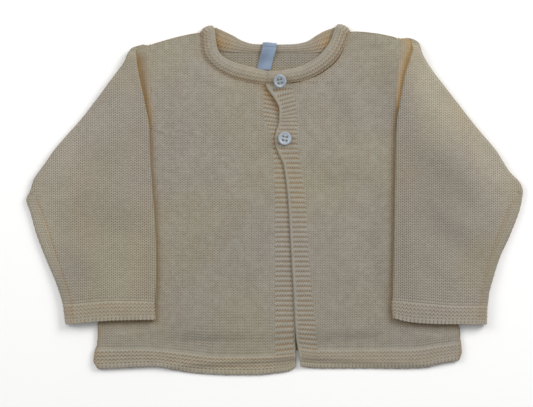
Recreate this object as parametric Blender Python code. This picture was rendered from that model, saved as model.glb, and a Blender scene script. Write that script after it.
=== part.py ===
"""A baby's knitted cardigan, buttoned at the neck and laid on its back with both sleeves folded over the front.

Everything is worked out in millimetres and scaled to metres when a mesh is made. X runs to the viewer's
right, Y towards the neck and Z up from the table. Left and right are the wearer's: the right front and the
right sleeve have negative X. "Out" is the distance from the middle line, on either side.
"""

import math

import bmesh
import bpy
import numpy as np

MM = 0.001
OUTWARD = {"right": -1.0, "left": 1.0}

# The cloth and how its layers lie on each other
WALL = 1.8
AIR = 0.4
SEAM = 0.3
FRONT_FLOOR = WALL + AIR
FRONT_TOP = FRONT_FLOOR + WALL
SLEEVE_FLOOR = FRONT_TOP + AIR
TUBE = 2 * WALL + AIR

# Garter ridges stand out of the bands, the hem, the cuffs and the neckband
RIDGE = 0.6
BAND_RIDGES = 54
HEM_RIDGES = 4
CUFF_RIDGES = 4

# Rows up the body: the hem's lower edge, where its ridges end, and where the neckband begins
HEM_LOW = -136.0
HEM_HIGH = -121.0
BAND_END = 91.3
BAND_WIDTH = 16.8
BAND_LIFT = 2.9

# Rows down the sleeve: the ends of the fold under it and of its ridges
FOLD_END = 10.0
HOLLOW_END = -6.0
CUFF_HIGH = -82.0
CUFF_LOW = -98.0

# The body's outer edge, up the side seam, round the armhole and along the shoulder: (y, out)
BODY_EDGE = {
    "right": (
        (-136.0, 141.5), (-131.0, 145.0), (-121.0, 143.7), (-116.5, 141.8), (-100.0, 141.5), (-40.0, 140.0),
        (39.0, 138.0), (41.0, 126.0), (44.0, 114.5), (48.5, 104.5), (53.0, 99.8), (58.0, 98.0),
        (98.0, 98.8), (122.6, 99.2), (123.4, 98.0), (126.0, 89.5), (128.8, 79.6), (131.2, 69.0), (132.6, 60.4),
    ),
    "left": (
        (-136.0, 148.0), (-129.0, 150.0), (-122.0, 149.6), (-115.0, 148.4), (-100.0, 147.6), (-40.0, 144.0),
        (39.0, 141.0), (41.0, 129.0), (44.0, 116.0), (48.5, 105.0), (53.0, 99.0), (58.0, 97.0),
        (86.0, 97.8), (112.0, 98.8), (127.6, 99.6), (128.6, 97.5), (130.0, 92.4), (132.2, 81.2),
        (133.2, 68.4), (133.8, 64.2),
    ),
}
# The seam between each front and the neckband: (y, out)
NECK_SEAM = {
    "right": (
        (92.0, 9.2), (92.6, 16.0), (93.4, 21.0), (94.6, 26.0), (96.4, 33.2), (100.0, 41.4), (105.6, 49.7),
        (112.6, 56.2), (118.7, 58.8), (126.0, 59.3), (132.6, 59.7),
    ),
    "left": (
        (92.0, 12.0), (93.6, 20.4), (95.2, 25.6), (98.0, 33.6), (102.4, 41.2), (108.0, 48.4), (114.0, 53.2),
        (121.2, 56.6), (130.4, 59.6), (133.8, 62.0),
    ),
}
# Where each front's plain knitting meets its garter band: (y, x)
BAND_SEAM = {
    "right": (
        (-139.0, 0.4), (0.0, 0.2), (37.6, -1.2), (45.6, -2.0), (50.4, -2.9), (56.8, -5.8), (63.2, -8.4),
        (71.2, -9.4), (92.0, -9.2),
    ),
    "left": (
        (-135.0, 36.0), (-120.8, 34.8), (-96.8, 32.4), (-64.8, 29.2), (-44.8, 27.6), (-0.8, 24.8), (19.2, 22.0),
        (33.8, 19.6), (41.2, 18.9), (48.5, 17.7), (56.0, 18.9), (73.0, 17.6), (79.5, 16.6), (92.0, 12.5),
    ),
}
# The free edge of the upper band, which lies over the lower one: (y, x)
UPPER_BAND_EDGE = (
    (-134.0, 20.4), (-122.4, 18.8), (-112.8, 17.2), (-80.8, 15.6), (-40.8, 13.2), (-0.8, 10.8), (27.2, 7.2),
    (31.2, 5.7), (38.7, 2.2), (43.6, 0.8), (48.5, 0.3), (53.4, 0.6), (63.2, 2.4), (71.2, 3.8), (75.4, 3.0),
    (79.4, 0.3), (83.0, -3.0), (88.0, -6.3), (92.0, -7.4),
)
# The fronts' lower edge, and the line above their hem ridges: (x, y)
HEM_BOTTOM = {
    "right": (
        (-145.0, -134.5), (-141.5, -136.0), (-114.0, -134.8), (-94.0, -134.2), (-83.6, -136.2), (-63.6, -139.4),
        (-35.6, -140.8), (-15.6, -140.8), (0.4, -139.4), (12.0, -137.6), (17.2, -134.5),
    ),
    "left": (
        (18.8, -131.5), (20.4, -133.6), (36.4, -135.4), (76.4, -135.4), (100.4, -135.6), (119.6, -134.9),
        (132.4, -131.7), (150.4, -128.6),
    ),
}
HEM_LINE = {
    "right": ((-143.5, -120.4), (-108.0, -120.0), (-75.6, -122.6), (-43.6, -126.0), (0.4, -125.6), (17.2, -124.0)),
    "left": ((18.0, -119.0), (34.8, -120.8), (108.4, -120.2), (133.8, -117.0), (148.4, -115.2)),
}
# The back's lower edge, which lies higher than the fronts' in the middle: (x, y)
BACK_HEM = (
    (-141.0, -131.5), (-110.0, -131.0), (-60.0, -127.0), (0.0, -122.5), (18.0, -121.2), (40.0, -122.5),
    (90.0, -126.0), (130.0, -127.0), (147.5, -124.5),
)
# The sleeve's outer edge, down the diagonal fold to the elbow and along the underarm: (y, out)
SLEEVE_OUTER = {
    "right": (
        (123.6, 103.5), (121.8, 110.0), (120.0, 114.8), (116.0, 117.6), (109.6, 120.4), (95.2, 130.8),
        (66.4, 152.4), (37.6, 177.2), (27.2, 184.4), (14.4, 193.2), (7.2, 195.4), (-0.8, 198.8), (-9.6, 195.9),
        (-27.7, 190.8), (-50.6, 182.0), (-71.0, 173.2), (-80.8, 170.0), (-88.8, 168.8), (-100.0, 167.4),
    ),
    "left": (
        (128.9, 103.8), (127.6, 110.6), (124.0, 116.0), (120.3, 117.2), (116.0, 118.5), (105.6, 124.4),
        (82.6, 141.8), (55.2, 163.2), (36.8, 178.5), (20.8, 188.7), (12.0, 197.0), (6.1, 198.9), (-3.5, 197.6),
        (-29.0, 188.7), (-45.6, 181.0), (-60.8, 175.9), (-76.2, 171.4), (-85.1, 170.6), (-100.2, 170.2),
    ),
}
# The sleeve's upper fold, which lies on the front of the body: (y, out)
SLEEVE_INNER = {
    "right": (
        (123.6, 100.6), (121.0, 107.6), (118.4, 110.8), (104.0, 109.2), (88.0, 106.0), (72.8, 102.8),
        (60.0, 100.4), (39.2, 99.6), (10.4, 97.8), (-15.2, 95.8), (-47.2, 94.6), (-68.8, 94.8), (-84.8, 95.8),
        (-96.0, 95.2),
    ),
    "left": (
        (128.9, 100.8), (126.0, 109.4), (120.8, 110.6), (112.8, 108.4), (100.0, 104.4), (88.0, 102.0),
        (73.6, 99.6), (60.0, 97.6), (43.2, 97.0), (4.2, 96.2), (-34.1, 95.5), (-59.6, 94.9), (-80.0, 94.2),
        (-88.8, 93.6), (-96.0, 94.8),
    ),
}
# The underarm seam of the part that is folded under, from the armhole to the elbow: (y, out)
UNDERARM = {"right": ((3.2, 198.0), (39.0, 138.0)), "left": ((3.2, 198.0), (39.0, 141.0))}
# The line above the cuff's ridges, and the cuff's edge: (out, y)
CUFF_LINE = {
    "right": ((95.5, -81.8), (127.0, -81.2), (163.0, -83.8)),
    "left": ((94.0, -80.7), (121.0, -83.2), (148.0, -85.1), (170.5, -85.1)),
}
CUFF_EDGE = {
    "right": ((96.0, -96.5), (127.0, -97.1), (167.3, -100.3)),
    "left": ((94.8, -95.2), (108.3, -98.4), (127.4, -99.8), (169.5, -100.3)),
}
# Soft ridges and troughs of the laid cloth: x, y, the way it runs in degrees, half its length, half its width, height
FRONT_FOLDS = (
    (-66.0, 70.0, 20.0, 40.0, 17.0, 0.9),
    (-58.0, 10.0, 80.0, 55.0, 16.0, 0.7),
    (-32.0, -66.0, 100.0, 40.0, 12.0, -0.8),
    (-70.0, -92.0, 5.0, 45.0, 12.0, 0.9),
    (-40.0, -117.0, 2.0, 46.0, 6.0, -1.2),
    (-118.0, -110.0, 80.0, 14.0, 8.0, 0.8),
    (62.0, 80.0, 112.0, 34.0, 9.0, 1.6),
    (80.0, 62.0, 108.0, 38.0, 7.0, -1.5),
    (64.0, 30.0, 162.0, 30.0, 10.0, 1.3),
    (60.0, 8.0, 165.0, 34.0, 10.0, -0.8),
    (62.0, -52.0, 118.0, 40.0, 11.0, 0.9),
    (84.0, -74.0, 105.0, 34.0, 9.0, -1.0),
    (76.0, -113.0, 176.0, 40.0, 6.0, -1.1),
    (122.0, -112.0, 10.0, 22.0, 7.0, 0.8),
)
SLEEVE_FOLDS = (
    (-140.0, 56.0, 128.0, 34.0, 15.0, 1.2),
    (-138.0, 4.0, 165.0, 44.0, 15.0, 1.3),
    (-132.0, -26.0, 172.0, 36.0, 11.0, -1.3),
    (-150.0, -48.0, 150.0, 26.0, 9.0, 0.8),
    (-116.0, -62.0, 95.0, 30.0, 9.0, 0.7),
    (148.0, 62.0, 47.0, 40.0, 13.0, 1.4),
    (152.0, 26.0, 146.0, 44.0, 12.0, 1.9),
    (140.0, 6.0, 142.0, 40.0, 10.0, -1.7),
    (108.0, -34.0, 94.0, 46.0, 7.0, 1.3),
    (142.0, -16.0, 152.0, 30.0, 7.0, 0.9),
    (152.0, -44.0, 140.0, 26.0, 8.0, -1.2),
    (134.0, -56.0, 136.0, 26.0, 7.0, 0.9),
)
# The neckband's front half, from the end over the top button to the wearer's left shoulder, then its other
# end and the wearer's right shoulder: its lower and its free edge as x, y, z, and how far it rises between them
NECKBAND_LEFT = (
    (-7.0, 93.0, 6.3, -7.2, 102.6, 6.4, 1.2),
    (2.0, 93.6, 6.3, 1.5, 102.3, 6.4, 1.3),
    (10.4, 94.2, 6.0, 10.6, 103.4, 6.0, 1.6),
    (16.5, 94.9, 4.6, 16.4, 104.6, 4.9, 2.6),
    (23.2, 96.2, 3.3, 22.2, 106.4, 4.2, 3.6),
    (31.6, 99.4, 3.3, 30.6, 110.8, 4.2, 3.6),
    (39.6, 104.2, 3.3, 37.2, 116.0, 4.2, 3.4),
    (46.8, 110.0, 3.3, 42.2, 122.2, 4.0, 3.3),
    (52.0, 116.6, 3.3, 45.6, 128.0, 3.8, 3.2),
    (55.6, 124.0, 3.2, 47.4, 133.4, 3.6, 3.1),
)
NECKBAND_RIGHT = (
    (10.0, 92.8, 3.0, 10.0, 101.6, 3.0, 0.9),
    (2.0, 92.9, 3.0, 2.0, 101.8, 3.0, 0.9),
    (-5.0, 93.1, 3.1, -5.0, 102.4, 3.5, 1.0),
    (-12.0, 93.5, 3.2, -11.0, 103.6, 3.8, 2.4),
    (-21.0, 94.8, 3.2, -17.6, 105.2, 4.0, 3.5),
    (-31.6, 97.2, 3.2, -28.0, 108.0, 4.2, 3.6),
    (-40.4, 101.0, 3.2, -37.0, 111.2, 4.2, 3.5),
    (-48.6, 106.6, 3.2, -43.0, 115.6, 4.1, 3.3),
    (-54.8, 113.4, 3.2, -46.2, 121.4, 3.9, 3.2),
    (-57.2, 119.4, 3.2, -47.2, 127.2, 3.7, 3.1),
    (-57.8, 126.4, 3.2, -47.8, 133.2, 3.6, 3.1),
)
# Where the band turns over each shoulder: its lower and its free edge as x, y
NECKBAND_TURN = {"left": (58.6, 132.6, 49.6, 138.1), "right": (-57.2, 132.0, -48.6, 136.8)}
# The neckband's back half from the wearer's left to the right, rolled outwards in the middle
NECKBAND_BACK = (
    (54.6, 126.0, 0.9, 46.0, 134.6, 0.9, 0.0),
    (46.0, 120.6, 0.9, 39.6, 133.6, 1.0, 0.3),
    (36.4, 118.8, 0.9, 33.4, 130.8, 1.0, 1.0),
    (26.4, 118.6, 0.9, 25.6, 126.2, 1.0, 2.2),
    (15.0, 118.9, 0.9, 15.2, 123.4, 1.0, 3.2),
    (0.0, 119.0, 0.9, 0.2, 122.9, 1.0, 3.4),
    (-15.0, 119.0, 0.9, -15.4, 123.2, 1.0, 3.3),
    (-26.0, 118.9, 0.9, -25.6, 126.2, 1.0, 2.5),
    (-35.0, 119.2, 0.9, -33.2, 130.6, 1.0, 1.2),
    (-44.4, 120.8, 0.9, -40.2, 134.2, 1.0, 0.4),
    (-53.2, 126.0, 0.9, -45.8, 136.0, 0.9, 0.0),
)
BAND_WALL = 1.7
TURN_RADIUS = 1.15
TURN_MIDDLE = 2.05

# Buttons: across, thick, the rim, and how far its four holes are from the middle
BUTTON_ACROSS = 10.8
BUTTON_THICK = 2.4
BUTTON_RIM = 1.6
BUTTON_DISH = 0.5
HOLE_ACROSS = 1.5
HOLE_OUT = 2.05
# Each button's middle, and its turn about X, Y and Z in degrees
BUTTONS = {
    "button_top": ((4.5, 94.2, 12.1), (0.0, -24.0, 8.0)),
    "button_lower": ((8.3, 48.4, 10.1), (0.0, 0.0, -8.0)),
}
# The ribbon sewn inside the back neck: its middle line as x, y, z, over the rolled band and down the back
RIBBON_LINE = (
    (-3.9, 125.0, 3.4), (-3.9, 124.5, 5.0), (-4.0, 122.4, 6.2), (-4.5, 119.8, 6.1), (-5.2, 117.0, 4.6),
    (-6.0, 114.2, 3.1), (-7.3, 109.0, 2.7), (-8.8, 103.4, 2.65),
)
RIBBON_WIDTH = 11.2
RIBBON_LEAN = -0.05
RIBBON_THICK = 1.0

CREAM = (0.60, 0.54, 0.43)
PEARL = (0.70, 0.74, 0.80)
SATIN = (0.62, 0.70, 0.80)


def smooth(x):
    """From 0 to 1 with level ends."""
    x = np.clip(x, 0.0, 1.0)
    return x * x * (3 - 2 * x)


def curve(rows, at):
    """The value at a place of a short table of (place, value) rows, smooth and never past its rows."""
    place, value = np.array(sorted(map(tuple, rows)), float).T
    run = np.diff(place)
    slope = np.diff(value) / run
    tangent = np.zeros_like(value)
    tangent[0], tangent[-1] = slope[0], slope[-1]
    before, after = slope[:-1], slope[1:]
    same = before * after > 0
    tangent[1:-1][same] = 2 * before[same] * after[same] / (before[same] + after[same])
    at = np.clip(np.asarray(at, float), place[0], place[-1])
    i = np.clip(np.searchsorted(place, at, side="right") - 1, 0, len(run) - 1)
    t = (at - place[i]) / run[i]
    return (
        value[i] * (1 + 2 * t) * (1 - t) ** 2
        + tangent[i] * run[i] * t * (1 - t) ** 2
        + value[i + 1] * t * t * (3 - 2 * t)
        + tangent[i + 1] * run[i] * t * t * (t - 1)
    )


def folds(rows, x, y):
    """The height of the laid cloth's soft folds at a point."""
    height = np.zeros(np.broadcast(x, y).shape)
    for fold_x, fold_y, degrees, length, width, rise in rows:
        along = (x - fold_x) * math.cos(math.radians(degrees)) + (y - fold_y) * math.sin(math.radians(degrees))
        across = (y - fold_y) * math.cos(math.radians(degrees)) - (x - fold_x) * math.sin(math.radians(degrees))
        height = height + rise * np.exp(-((along / length) ** 2) - (across / width) ** 2)
    return height


# ---- the fronts ----


def front_point(side, u, row):
    """Plan point of a front: u is 0 at the side, 1 where the plain knitting ends and 2 at the band's free edge."""
    outer = OUTWARD[side] * curve(BODY_EDGE[side], row)
    if row > BAND_END:
        inner = OUTWARD[side] * curve(NECK_SEAM[side], row)
    else:
        inner = curve(BAND_SEAM[side], row)
    free = curve(UPPER_BAND_EDGE, row) if side == "left" else inner + BAND_WIDTH
    x = outer + (inner - outer) * min(u, 1.0) + (free - inner) * max(u - 1.0, 0.0)
    hem_line = curve(HEM_LINE[side], x)
    if row >= HEM_HIGH:
        return x, row + (hem_line - HEM_HIGH) * (1 - smooth((row - HEM_HIGH) / 30.0))
    share = (row - HEM_LOW) / (HEM_HIGH - HEM_LOW)
    hem_bottom = curve(HEM_BOTTOM[side], x)
    return x, hem_bottom + (hem_line - hem_bottom) * share


def front_floor(side, x, y):
    """The height of a front's inner face: on the back, or on the table below the back's hem."""
    out = OUTWARD[side] * x
    on_back = smooth((y - curve(BACK_HEM, x) + 10.0) / 6.0)
    puff = 1.9 * smooth((94.0 - out) / 26.0) * (1 - 0.55 * smooth((34.0 - out) / 24.0))
    puff = puff * smooth((131.0 - y) / 24.0) * smooth((y + 122.0) / 30.0)
    height = SEAM + (FRONT_FLOOR - SEAM) * on_back + puff
    height = height + folds(FRONT_FOLDS, x, y) * smooth((94.0 - out + 46.0 * smooth((-102.0 - y) / 8.0)) / 14.0)
    if side == "left":
        lower_edge = curve(BAND_SEAM["right"], y) + BAND_WIDTH
        height = height + BAND_LIFT * smooth((lower_edge + 13.0 - x) / 10.0)
    return np.maximum(height, SEAM + WALL * on_back)


def front_thickness(side, u, row):
    """The wall, thinner where it rolls down to the side seam and the shoulder."""
    if u > 1.0:
        return WALL
    outer = curve(BODY_EDGE[side], row)
    inner = curve(NECK_SEAM[side], row) if row > BAND_END else OUTWARD[side] * curve(BAND_SEAM[side], row)
    in_from_edge = u * (outer - inner)
    rolled = 1.0 if row < 40.0 or row > 122.0 else 0.0
    return WALL - 0.6 * rolled * (1 - smooth(in_from_edge / 5.0))


def row_heights():
    """The rows of a band's ridge tops and valleys up the body, then those that the wide panel uses too."""
    step = (BAND_END - HEM_HIGH) / (2 * BAND_RIDGES)
    dense = [HEM_HIGH + step * i for i in range(2 * BAND_RIDGES + 1)]
    shared = [
        i
        for i, row in enumerate(dense)
        if i % 6 == 0 or i == 2 * BAND_RIDGES or (36.0 < row < 60.0 and i % 2 == 0)
    ]
    return dense, shared


def armhole_rows():
    """The rows that every piece shares where the armhole's edge turns, so that their seams run side by side."""
    dense, shared = row_heights()
    return [dense[i] for i in shared if 36.0 < dense[i] < 60.0]


def make_front(side):
    """One front with the garter band knitted to it; ridges stand out of its upper face only."""
    name = f"front_{side}"
    dense, shared = row_heights()
    hem = [HEM_LOW + (HEM_HIGH - HEM_LOW) * i / (2 * HEM_RIDGES) for i in range(2 * HEM_RIDGES)]
    top = 132.5 if side == "right" else 133.7
    yoke = [93.4, 95.0, 98.0, 102.5, 108.0, 114.5, 121.0, 124.5, 128.0, 131.0, top]
    across = [0.0, 0.035, 0.11, 0.21, 0.32, 0.43, 0.54, 0.65, 0.76, 0.88, 1.0]
    band_across = [1.12, 1.5, 1.88, 2.0]

    def vertex(mesh, u, row, ridge, outer_face):
        x, y = front_point(side, u, row)
        z = float(front_floor(side, x, y))
        if outer_face:
            z += front_thickness(side, u, row) + RIDGE * ridge
        return mesh.verts.new((float(x) * MM, float(y) * MM, z * MM))

    mesh = bmesh.new()
    upper, lower = {}, {}
    for i, row in enumerate(hem):
        for u in across + band_across:
            upper["hem", i, u] = vertex(mesh, u, row, (i + 1) % 2, True)
            lower["hem", i, u] = vertex(mesh, u, row, 0, False) if i % 4 == 0 else None
    for i, row in enumerate(dense):
        crest = i % 2
        for u in band_across:
            upper["band", i, u] = vertex(mesh, u, row, crest, True)
        upper["band", i, 1.0] = vertex(mesh, 1.0, row, 0, True)
        if i in shared:
            for u in across[:-1]:
                upper["band", i, u] = vertex(mesh, u, row, 0, True)
            for u in across + band_across:
                lower["band", i, u] = vertex(mesh, u, row, 0, False)
    for i, row in enumerate(yoke):
        for u in across:
            upper["yoke", i, u] = vertex(mesh, u, row, 0, True)
            lower["yoke", i, u] = vertex(mesh, u, row, 0, False)

    last = len(dense) - 1
    hem_rows = [("hem", i) for i in range(len(hem))]
    hem_floor = [row for row in hem_rows if row[1] % 4 == 0]
    shared_rows = [("band", i) for i in shared]
    yoke_rows = [("yoke", i) for i in range(len(yoke))]

    def face(points):
        if side == "left":
            points = points[::-1]
        mesh.faces.new(points)

    def quads(grid, rows, columns, flip):
        for row, above in zip(rows, rows[1:]):
            for u, beside in zip(columns, columns[1:]):
                corners = [grid[*row, u], grid[*row, beside], grid[*above, beside], grid[*above, u]]
                face(corners[::-1] if flip else corners)

    every = across + band_across
    panel_rows = hem_rows + shared_rows[:1]
    quads(upper, panel_rows, every, False)
    quads(lower, hem_floor + shared_rows[:1], every, True)
    quads(lower, shared_rows, every, True)
    quads(lower, shared_rows[-1:] + yoke_rows, across, True)
    quads(upper, shared_rows, across[:-1], False)
    quads(upper, shared_rows[-1:] + yoke_rows, across, False)
    quads(upper, [("band", i) for i in range(len(dense))], [1.0] + band_across, False)
    for start, end in zip(shared, shared[1:]):
        steps = range(start, end + 1)
        beside = [upper["band", i, 1.0] for i in steps]
        face([upper["band", start, across[-2]]] + beside + [upper["band", end, across[-2]]])
        rim = [upper["band", i, 2.0] for i in reversed(steps)]
        face([lower["band", start, 2.0], lower["band", end, 2.0]] + rim)
    for start, end in zip(hem_floor, hem_floor[1:] + shared_rows[:1]):
        between = [row for row in panel_rows if row[1] >= start[1] or row[0] == "band"]
        between = between[: 5 if len(between) > 4 else len(between)]
        face([lower[*start, 2.0], lower[*end, 2.0]] + [upper[*row, 2.0] for row in reversed(between)])
        face([lower[*end, 0.0], lower[*start, 0.0]] + [upper[*row, 0.0] for row in between])
    side_rows = shared_rows + yoke_rows
    for row, above in zip(side_rows, side_rows[1:]):
        face([lower[*above, 0.0], lower[*row, 0.0], upper[*row, 0.0], upper[*above, 0.0]])
    neck_rows = shared_rows[-1:] + yoke_rows
    for row, above in zip(neck_rows, neck_rows[1:]):
        face([lower[*row, 1.0], lower[*above, 1.0], upper[*above, 1.0], upper[*row, 1.0]])
    for u, beside in zip(every, every[1:]):
        face([lower["hem", 0, u], lower["hem", 0, beside], upper["hem", 0, beside], upper["hem", 0, u]])
    end = len(yoke) - 1
    for u, beside in zip(across, across[1:]):
        face([lower["yoke", end, beside], lower["yoke", end, u], upper["yoke", end, u], upper["yoke", end, beside]])
    tops = [1.0] + band_across
    for u, beside in zip(tops, tops[1:]):
        face([lower["band", last, beside], lower["band", last, u], upper["band", last, u], upper["band", last, beside]])
    return finish_mesh(name, mesh, CREAM)


# ---- the back ----


def neckline():
    """The back's cut for the neck, just clear of the band's sewn edge, from the wearer's right to the left."""

    def clear_of(ax, ay, fx, fy, gap):
        width = math.hypot(fx - ax, fy - ay)
        return ax - (fx - ax) / width * gap, ay - (fy - ay) / width * gap

    def turned(side):
        ax, ay, fx, fy = NECKBAND_TURN[side]
        width = math.hypot(fx - ax, fy - ay)
        side_x = OUTWARD[side] * abs(fy - ay) / width * TURN_RADIUS
        side_y = abs(fx - ax) / width * TURN_RADIUS
        edge = clear_of(ax + side_x, ay + side_y, fx + side_x, fy + side_y, SEAM + BAND_WALL / 2 + 0.1)
        return edge, clear_of(ax, ay, fx, fy, SEAM + 0.1)

    line = [
        clear_of(ax, ay, fx, fy, SEAM + 0.1 + BAND_WALL / 2 * min(1.0, bulge))
        for ax, ay, _, fx, fy, _, bulge in reversed(NECKBAND_BACK)
    ]
    return [*turned("right"), *line, *reversed(turned("left"))]


def back_outline():
    """The back's edge seen from above, from the wearer's right hem corner round the neck and back."""
    up = [-118.0, -100.0, -60.0, -20.0, 20.0] + armhole_rows() + [78.0, 98.0, 118.0]
    shoulder = {"right": [122.8, 124.5, 128.0, 131.0, 132.5], "left": [127.0, 128.8, 130.6, 132.4, 133.6]}
    right = [(-curve(BODY_EDGE["right"], row), row) for row in up + shoulder["right"]]
    left = [(curve(BODY_EDGE["left"], row), row) for row in up + shoulder["left"]]
    hem = [(x, curve(BACK_HEM, x)) for x in (130.0, 90.0, 60.0, 40.0, 18.0, 0.0, -30.0, -60.0, -90.0, -120.0)]
    corners = [(147.3, curve(BACK_HEM, 147.0)), (-141.0, curve(BACK_HEM, -141.0))]
    outline = right + neckline() + left[::-1]
    return outline + corners[:1] + hem + corners[1:]


def make_back():
    """The back, one layer flat on the table, its upper edge slightly rounded."""
    outline = np.array([(float(x), float(y)) for x, y in back_outline()])
    ahead = np.roll(outline, -1, axis=0) - outline
    ahead /= np.linalg.norm(ahead, axis=1, keepdims=True)
    bend = ahead + np.roll(ahead, 1, axis=0)
    bend /= np.linalg.norm(bend, axis=1, keepdims=True)
    inward = np.stack([bend[:, 1], -bend[:, 0]], axis=1)
    mesh = bmesh.new()
    levels = [(0.0, 0.35), (0.5, 0.0), (1.3, 0.0), (WALL, 0.35)]
    rings = []
    for height, inset in levels:
        ring = outline + inward * inset
        rings.append([mesh.verts.new((x * MM, y * MM, height * MM)) for x, y in ring])
    mesh.faces.new(rings[0])
    mesh.faces.new(rings[-1][::-1])
    for low, high in zip(rings, rings[1:]):
        for i in range(len(low)):
            j = (i + 1) % len(low)
            mesh.faces.new([low[j], low[i], high[i], high[j]])
    return finish_mesh("back", mesh, CREAM)


# ---- the sleeves ----


def seam_out(side, row):
    """The inner end of the layers folded under the sleeve: the armhole, then the underarm seam to the elbow."""
    if row > 39.0:
        return curve(BODY_EDGE[side], min(row, 122.5) - 0.35) + SEAM
    return curve(UNDERARM[side], row) + SEAM


def under_layers(row):
    """How much of the folded layers is left under the sleeve at a row, from 1 down to 0 below the elbow."""
    return float(smooth((row + 4.0) / 34.0))


def sleeve_rest(side, out, row, wide):
    """How high the sleeve is held up, by the body and by the layers folded under it."""
    reach, flat = (20.0, 5.0) if wide else (12.0, 2.0)
    over_body = smooth(1 - (out - curve(BODY_EDGE[side], min(row, 39.0)) - flat) / reach)
    over_fold = smooth(1 - (seam_out(side, row) - out - flat) / reach) if row < 39.0 else 1.0
    layers = SLEEVE_FLOOR * under_layers(row)
    return np.maximum(SLEEVE_FLOOR * over_body, layers * over_fold)


def sleeve_top(side, out, row):
    """The height of the sleeve's upper face."""
    inner, outer = curve(SLEEVE_INNER[side], row), curve(SLEEVE_OUTER[side], row)
    puff = 2.0 * smooth((out - inner) / 20.0) * smooth((outer - out) / 20.0) * smooth((row + 108.0) / 30.0)
    puff = puff + folds(SLEEVE_FOLDS, OUTWARD[side] * out, row) * smooth((outer - out) / 9.0) * smooth(
        (out - inner) / 9.0
    )
    shoulder = {"right": 124.0, "left": 129.3}[side]
    folded_over = smooth((shoulder - row) / 14.0)
    rest = sleeve_rest(side, out, row, True)
    return rest * folded_over + TUBE + 0.5 * (1 - folded_over) + np.maximum(puff, 0.0)


def sleeve_row_y(side, out, row):
    """Rows run straight across the sleeve, then bend into the cuff's own lines."""
    line = curve(CUFF_LINE[side], out)
    if row >= CUFF_HIGH:
        return row + (line - CUFF_HIGH) * (1 - smooth((row - CUFF_HIGH) / 24.0))
    share = (CUFF_HIGH - row) / (CUFF_HIGH - CUFF_LOW)
    return line + (curve(CUFF_EDGE[side], out) - line) * share


def sleeve_section(side, row, ridge):
    """One row's outline: the tube's underside, outer turn, top and inner turn, and the layers folded under it."""
    inner, outer = curve(SLEEVE_INNER[side], row), curve(SLEEVE_OUTER[side], row)
    width = outer - inner
    roll, turn = min(3.2, 0.3 * width), min(2.0, 0.25 * width)
    seam = seam_out(side, row)
    folded = row >= FOLD_END
    low_end = min(seam, outer - roll - 1.2)
    edge = curve(BODY_EDGE[side], min(row, 39.0)) + 2.0
    lap = min(6.0, 0.45 * (outer - roll - low_end), 0.6 * (outer - roll - inner - turn))
    notch = max(low_end, inner + turn + 0.4) + lap if folded else outer - roll - 3.0
    notch = min(notch, outer - roll - 0.3)
    layer_top = FRONT_TOP * under_layers(row)

    def underside(out):
        if not folded:
            return sleeve_rest(side, out, row, False)
        return np.maximum(sleeve_rest(side, out, row, False), layer_top + AIR)

    start = inner + turn
    if row < 39.0 and start < edge < notch - 4.0:
        outs = [start, (start + edge) / 2] + list(np.linspace(edge, notch, 5))
    else:
        outs = np.linspace(start, notch, 7)
    tube = [(float(out), float(underside(out))) for out in outs]
    top_at_roll = float(sleeve_top(side, outer - roll, row))
    for degrees in (-90, -54, -18, 18, 54):
        angle = math.radians(degrees)
        tube.append((outer - roll + (roll + RIDGE * 0.5 * ridge) * math.cos(angle), top_at_roll * (1 + math.sin(angle)) / 2))
    for share in (0.0, 0.07, 0.17, 0.29, 0.42, 0.55, 0.68, 0.8, 0.9, 1.0):
        out = outer - roll + (inner + turn - outer + roll) * share
        tube.append((out, float(sleeve_top(side, out, row)) + RIDGE * ridge))
    high, low = tube[-1][1], tube[0][1]
    for degrees in (50, 0, -50):
        angle = math.radians(degrees)
        middle = (high + low) / 2 + (high - low) / 2 * math.sin(angle)
        tube.append((inner + turn - (turn + RIDGE * 0.5 * ridge) * math.cos(angle), middle))
    layers = []
    if folded:
        layers.append((notch + 0.25, layer_top + AIR / 2))
        for share in (0.0, 0.5, 1.0):
            out = notch + (seam - notch) * share
            exposed = smooth((inner - out + 2.0) / 4.0) * smooth((row - 58.0) / 8.0)
            layers.append((out, layer_top + 0.7 * float(exposed)))
        layers += [(seam, 0.0), ((seam + outer - roll) / 2, 0.0)]
    return tube, layers


def hollow_section(side, row):
    """The tube's inner face at one row, matched point by point to its outer face."""
    inner, outer = curve(SLEEVE_INNER[side], row), curve(SLEEVE_OUTER[side], row)
    tube, _ = sleeve_section(side, row, 0)
    low_in, low_out = inner + WALL + 0.6, outer - WALL - 1.0
    points = []
    for i, (out, _) in enumerate(tube):
        held = min(max(out, low_in), low_out)
        floor = float(sleeve_rest(side, held, row, False)) + WALL
        roof = float(sleeve_top(side, held, row)) - WALL
        if i < 7:
            points.append((held if i else low_in + 0.3, floor))
        elif i < 12:
            share = (i - 7) / 5
            points.append((low_out + 0.25 * math.sin(math.pi * share), floor + (roof - floor) * share))
        elif i < 22:
            points.append((held if i < 21 else low_in + 0.3, roof))
        else:
            share = (i - 21) / 4
            points.append((low_in + 0.3 - 0.3 * math.sin(math.pi * share), roof + (floor - roof) * share))
    return spread(points)


def spread(points):
    """Keeps neighbouring points of the hollow apart where the tube's turns press them together."""
    apart = 0.12
    points = [list(point) for point in points]
    for i in range(5, -1, -1):
        points[i][0] = min(points[i][0], points[i + 1][0] - apart)
    for i in range(1, 7):
        points[i][0] = max(points[i][0], points[i - 1][0] + apart)
    for i in range(13, 22):
        points[i][0] = min(points[i][0], points[i - 1][0] - apart)
    for i in range(20, 11, -1):
        points[i][0] = max(points[i][0], points[i + 1][0] + apart)
    return [tuple(point) for point in points]


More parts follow.
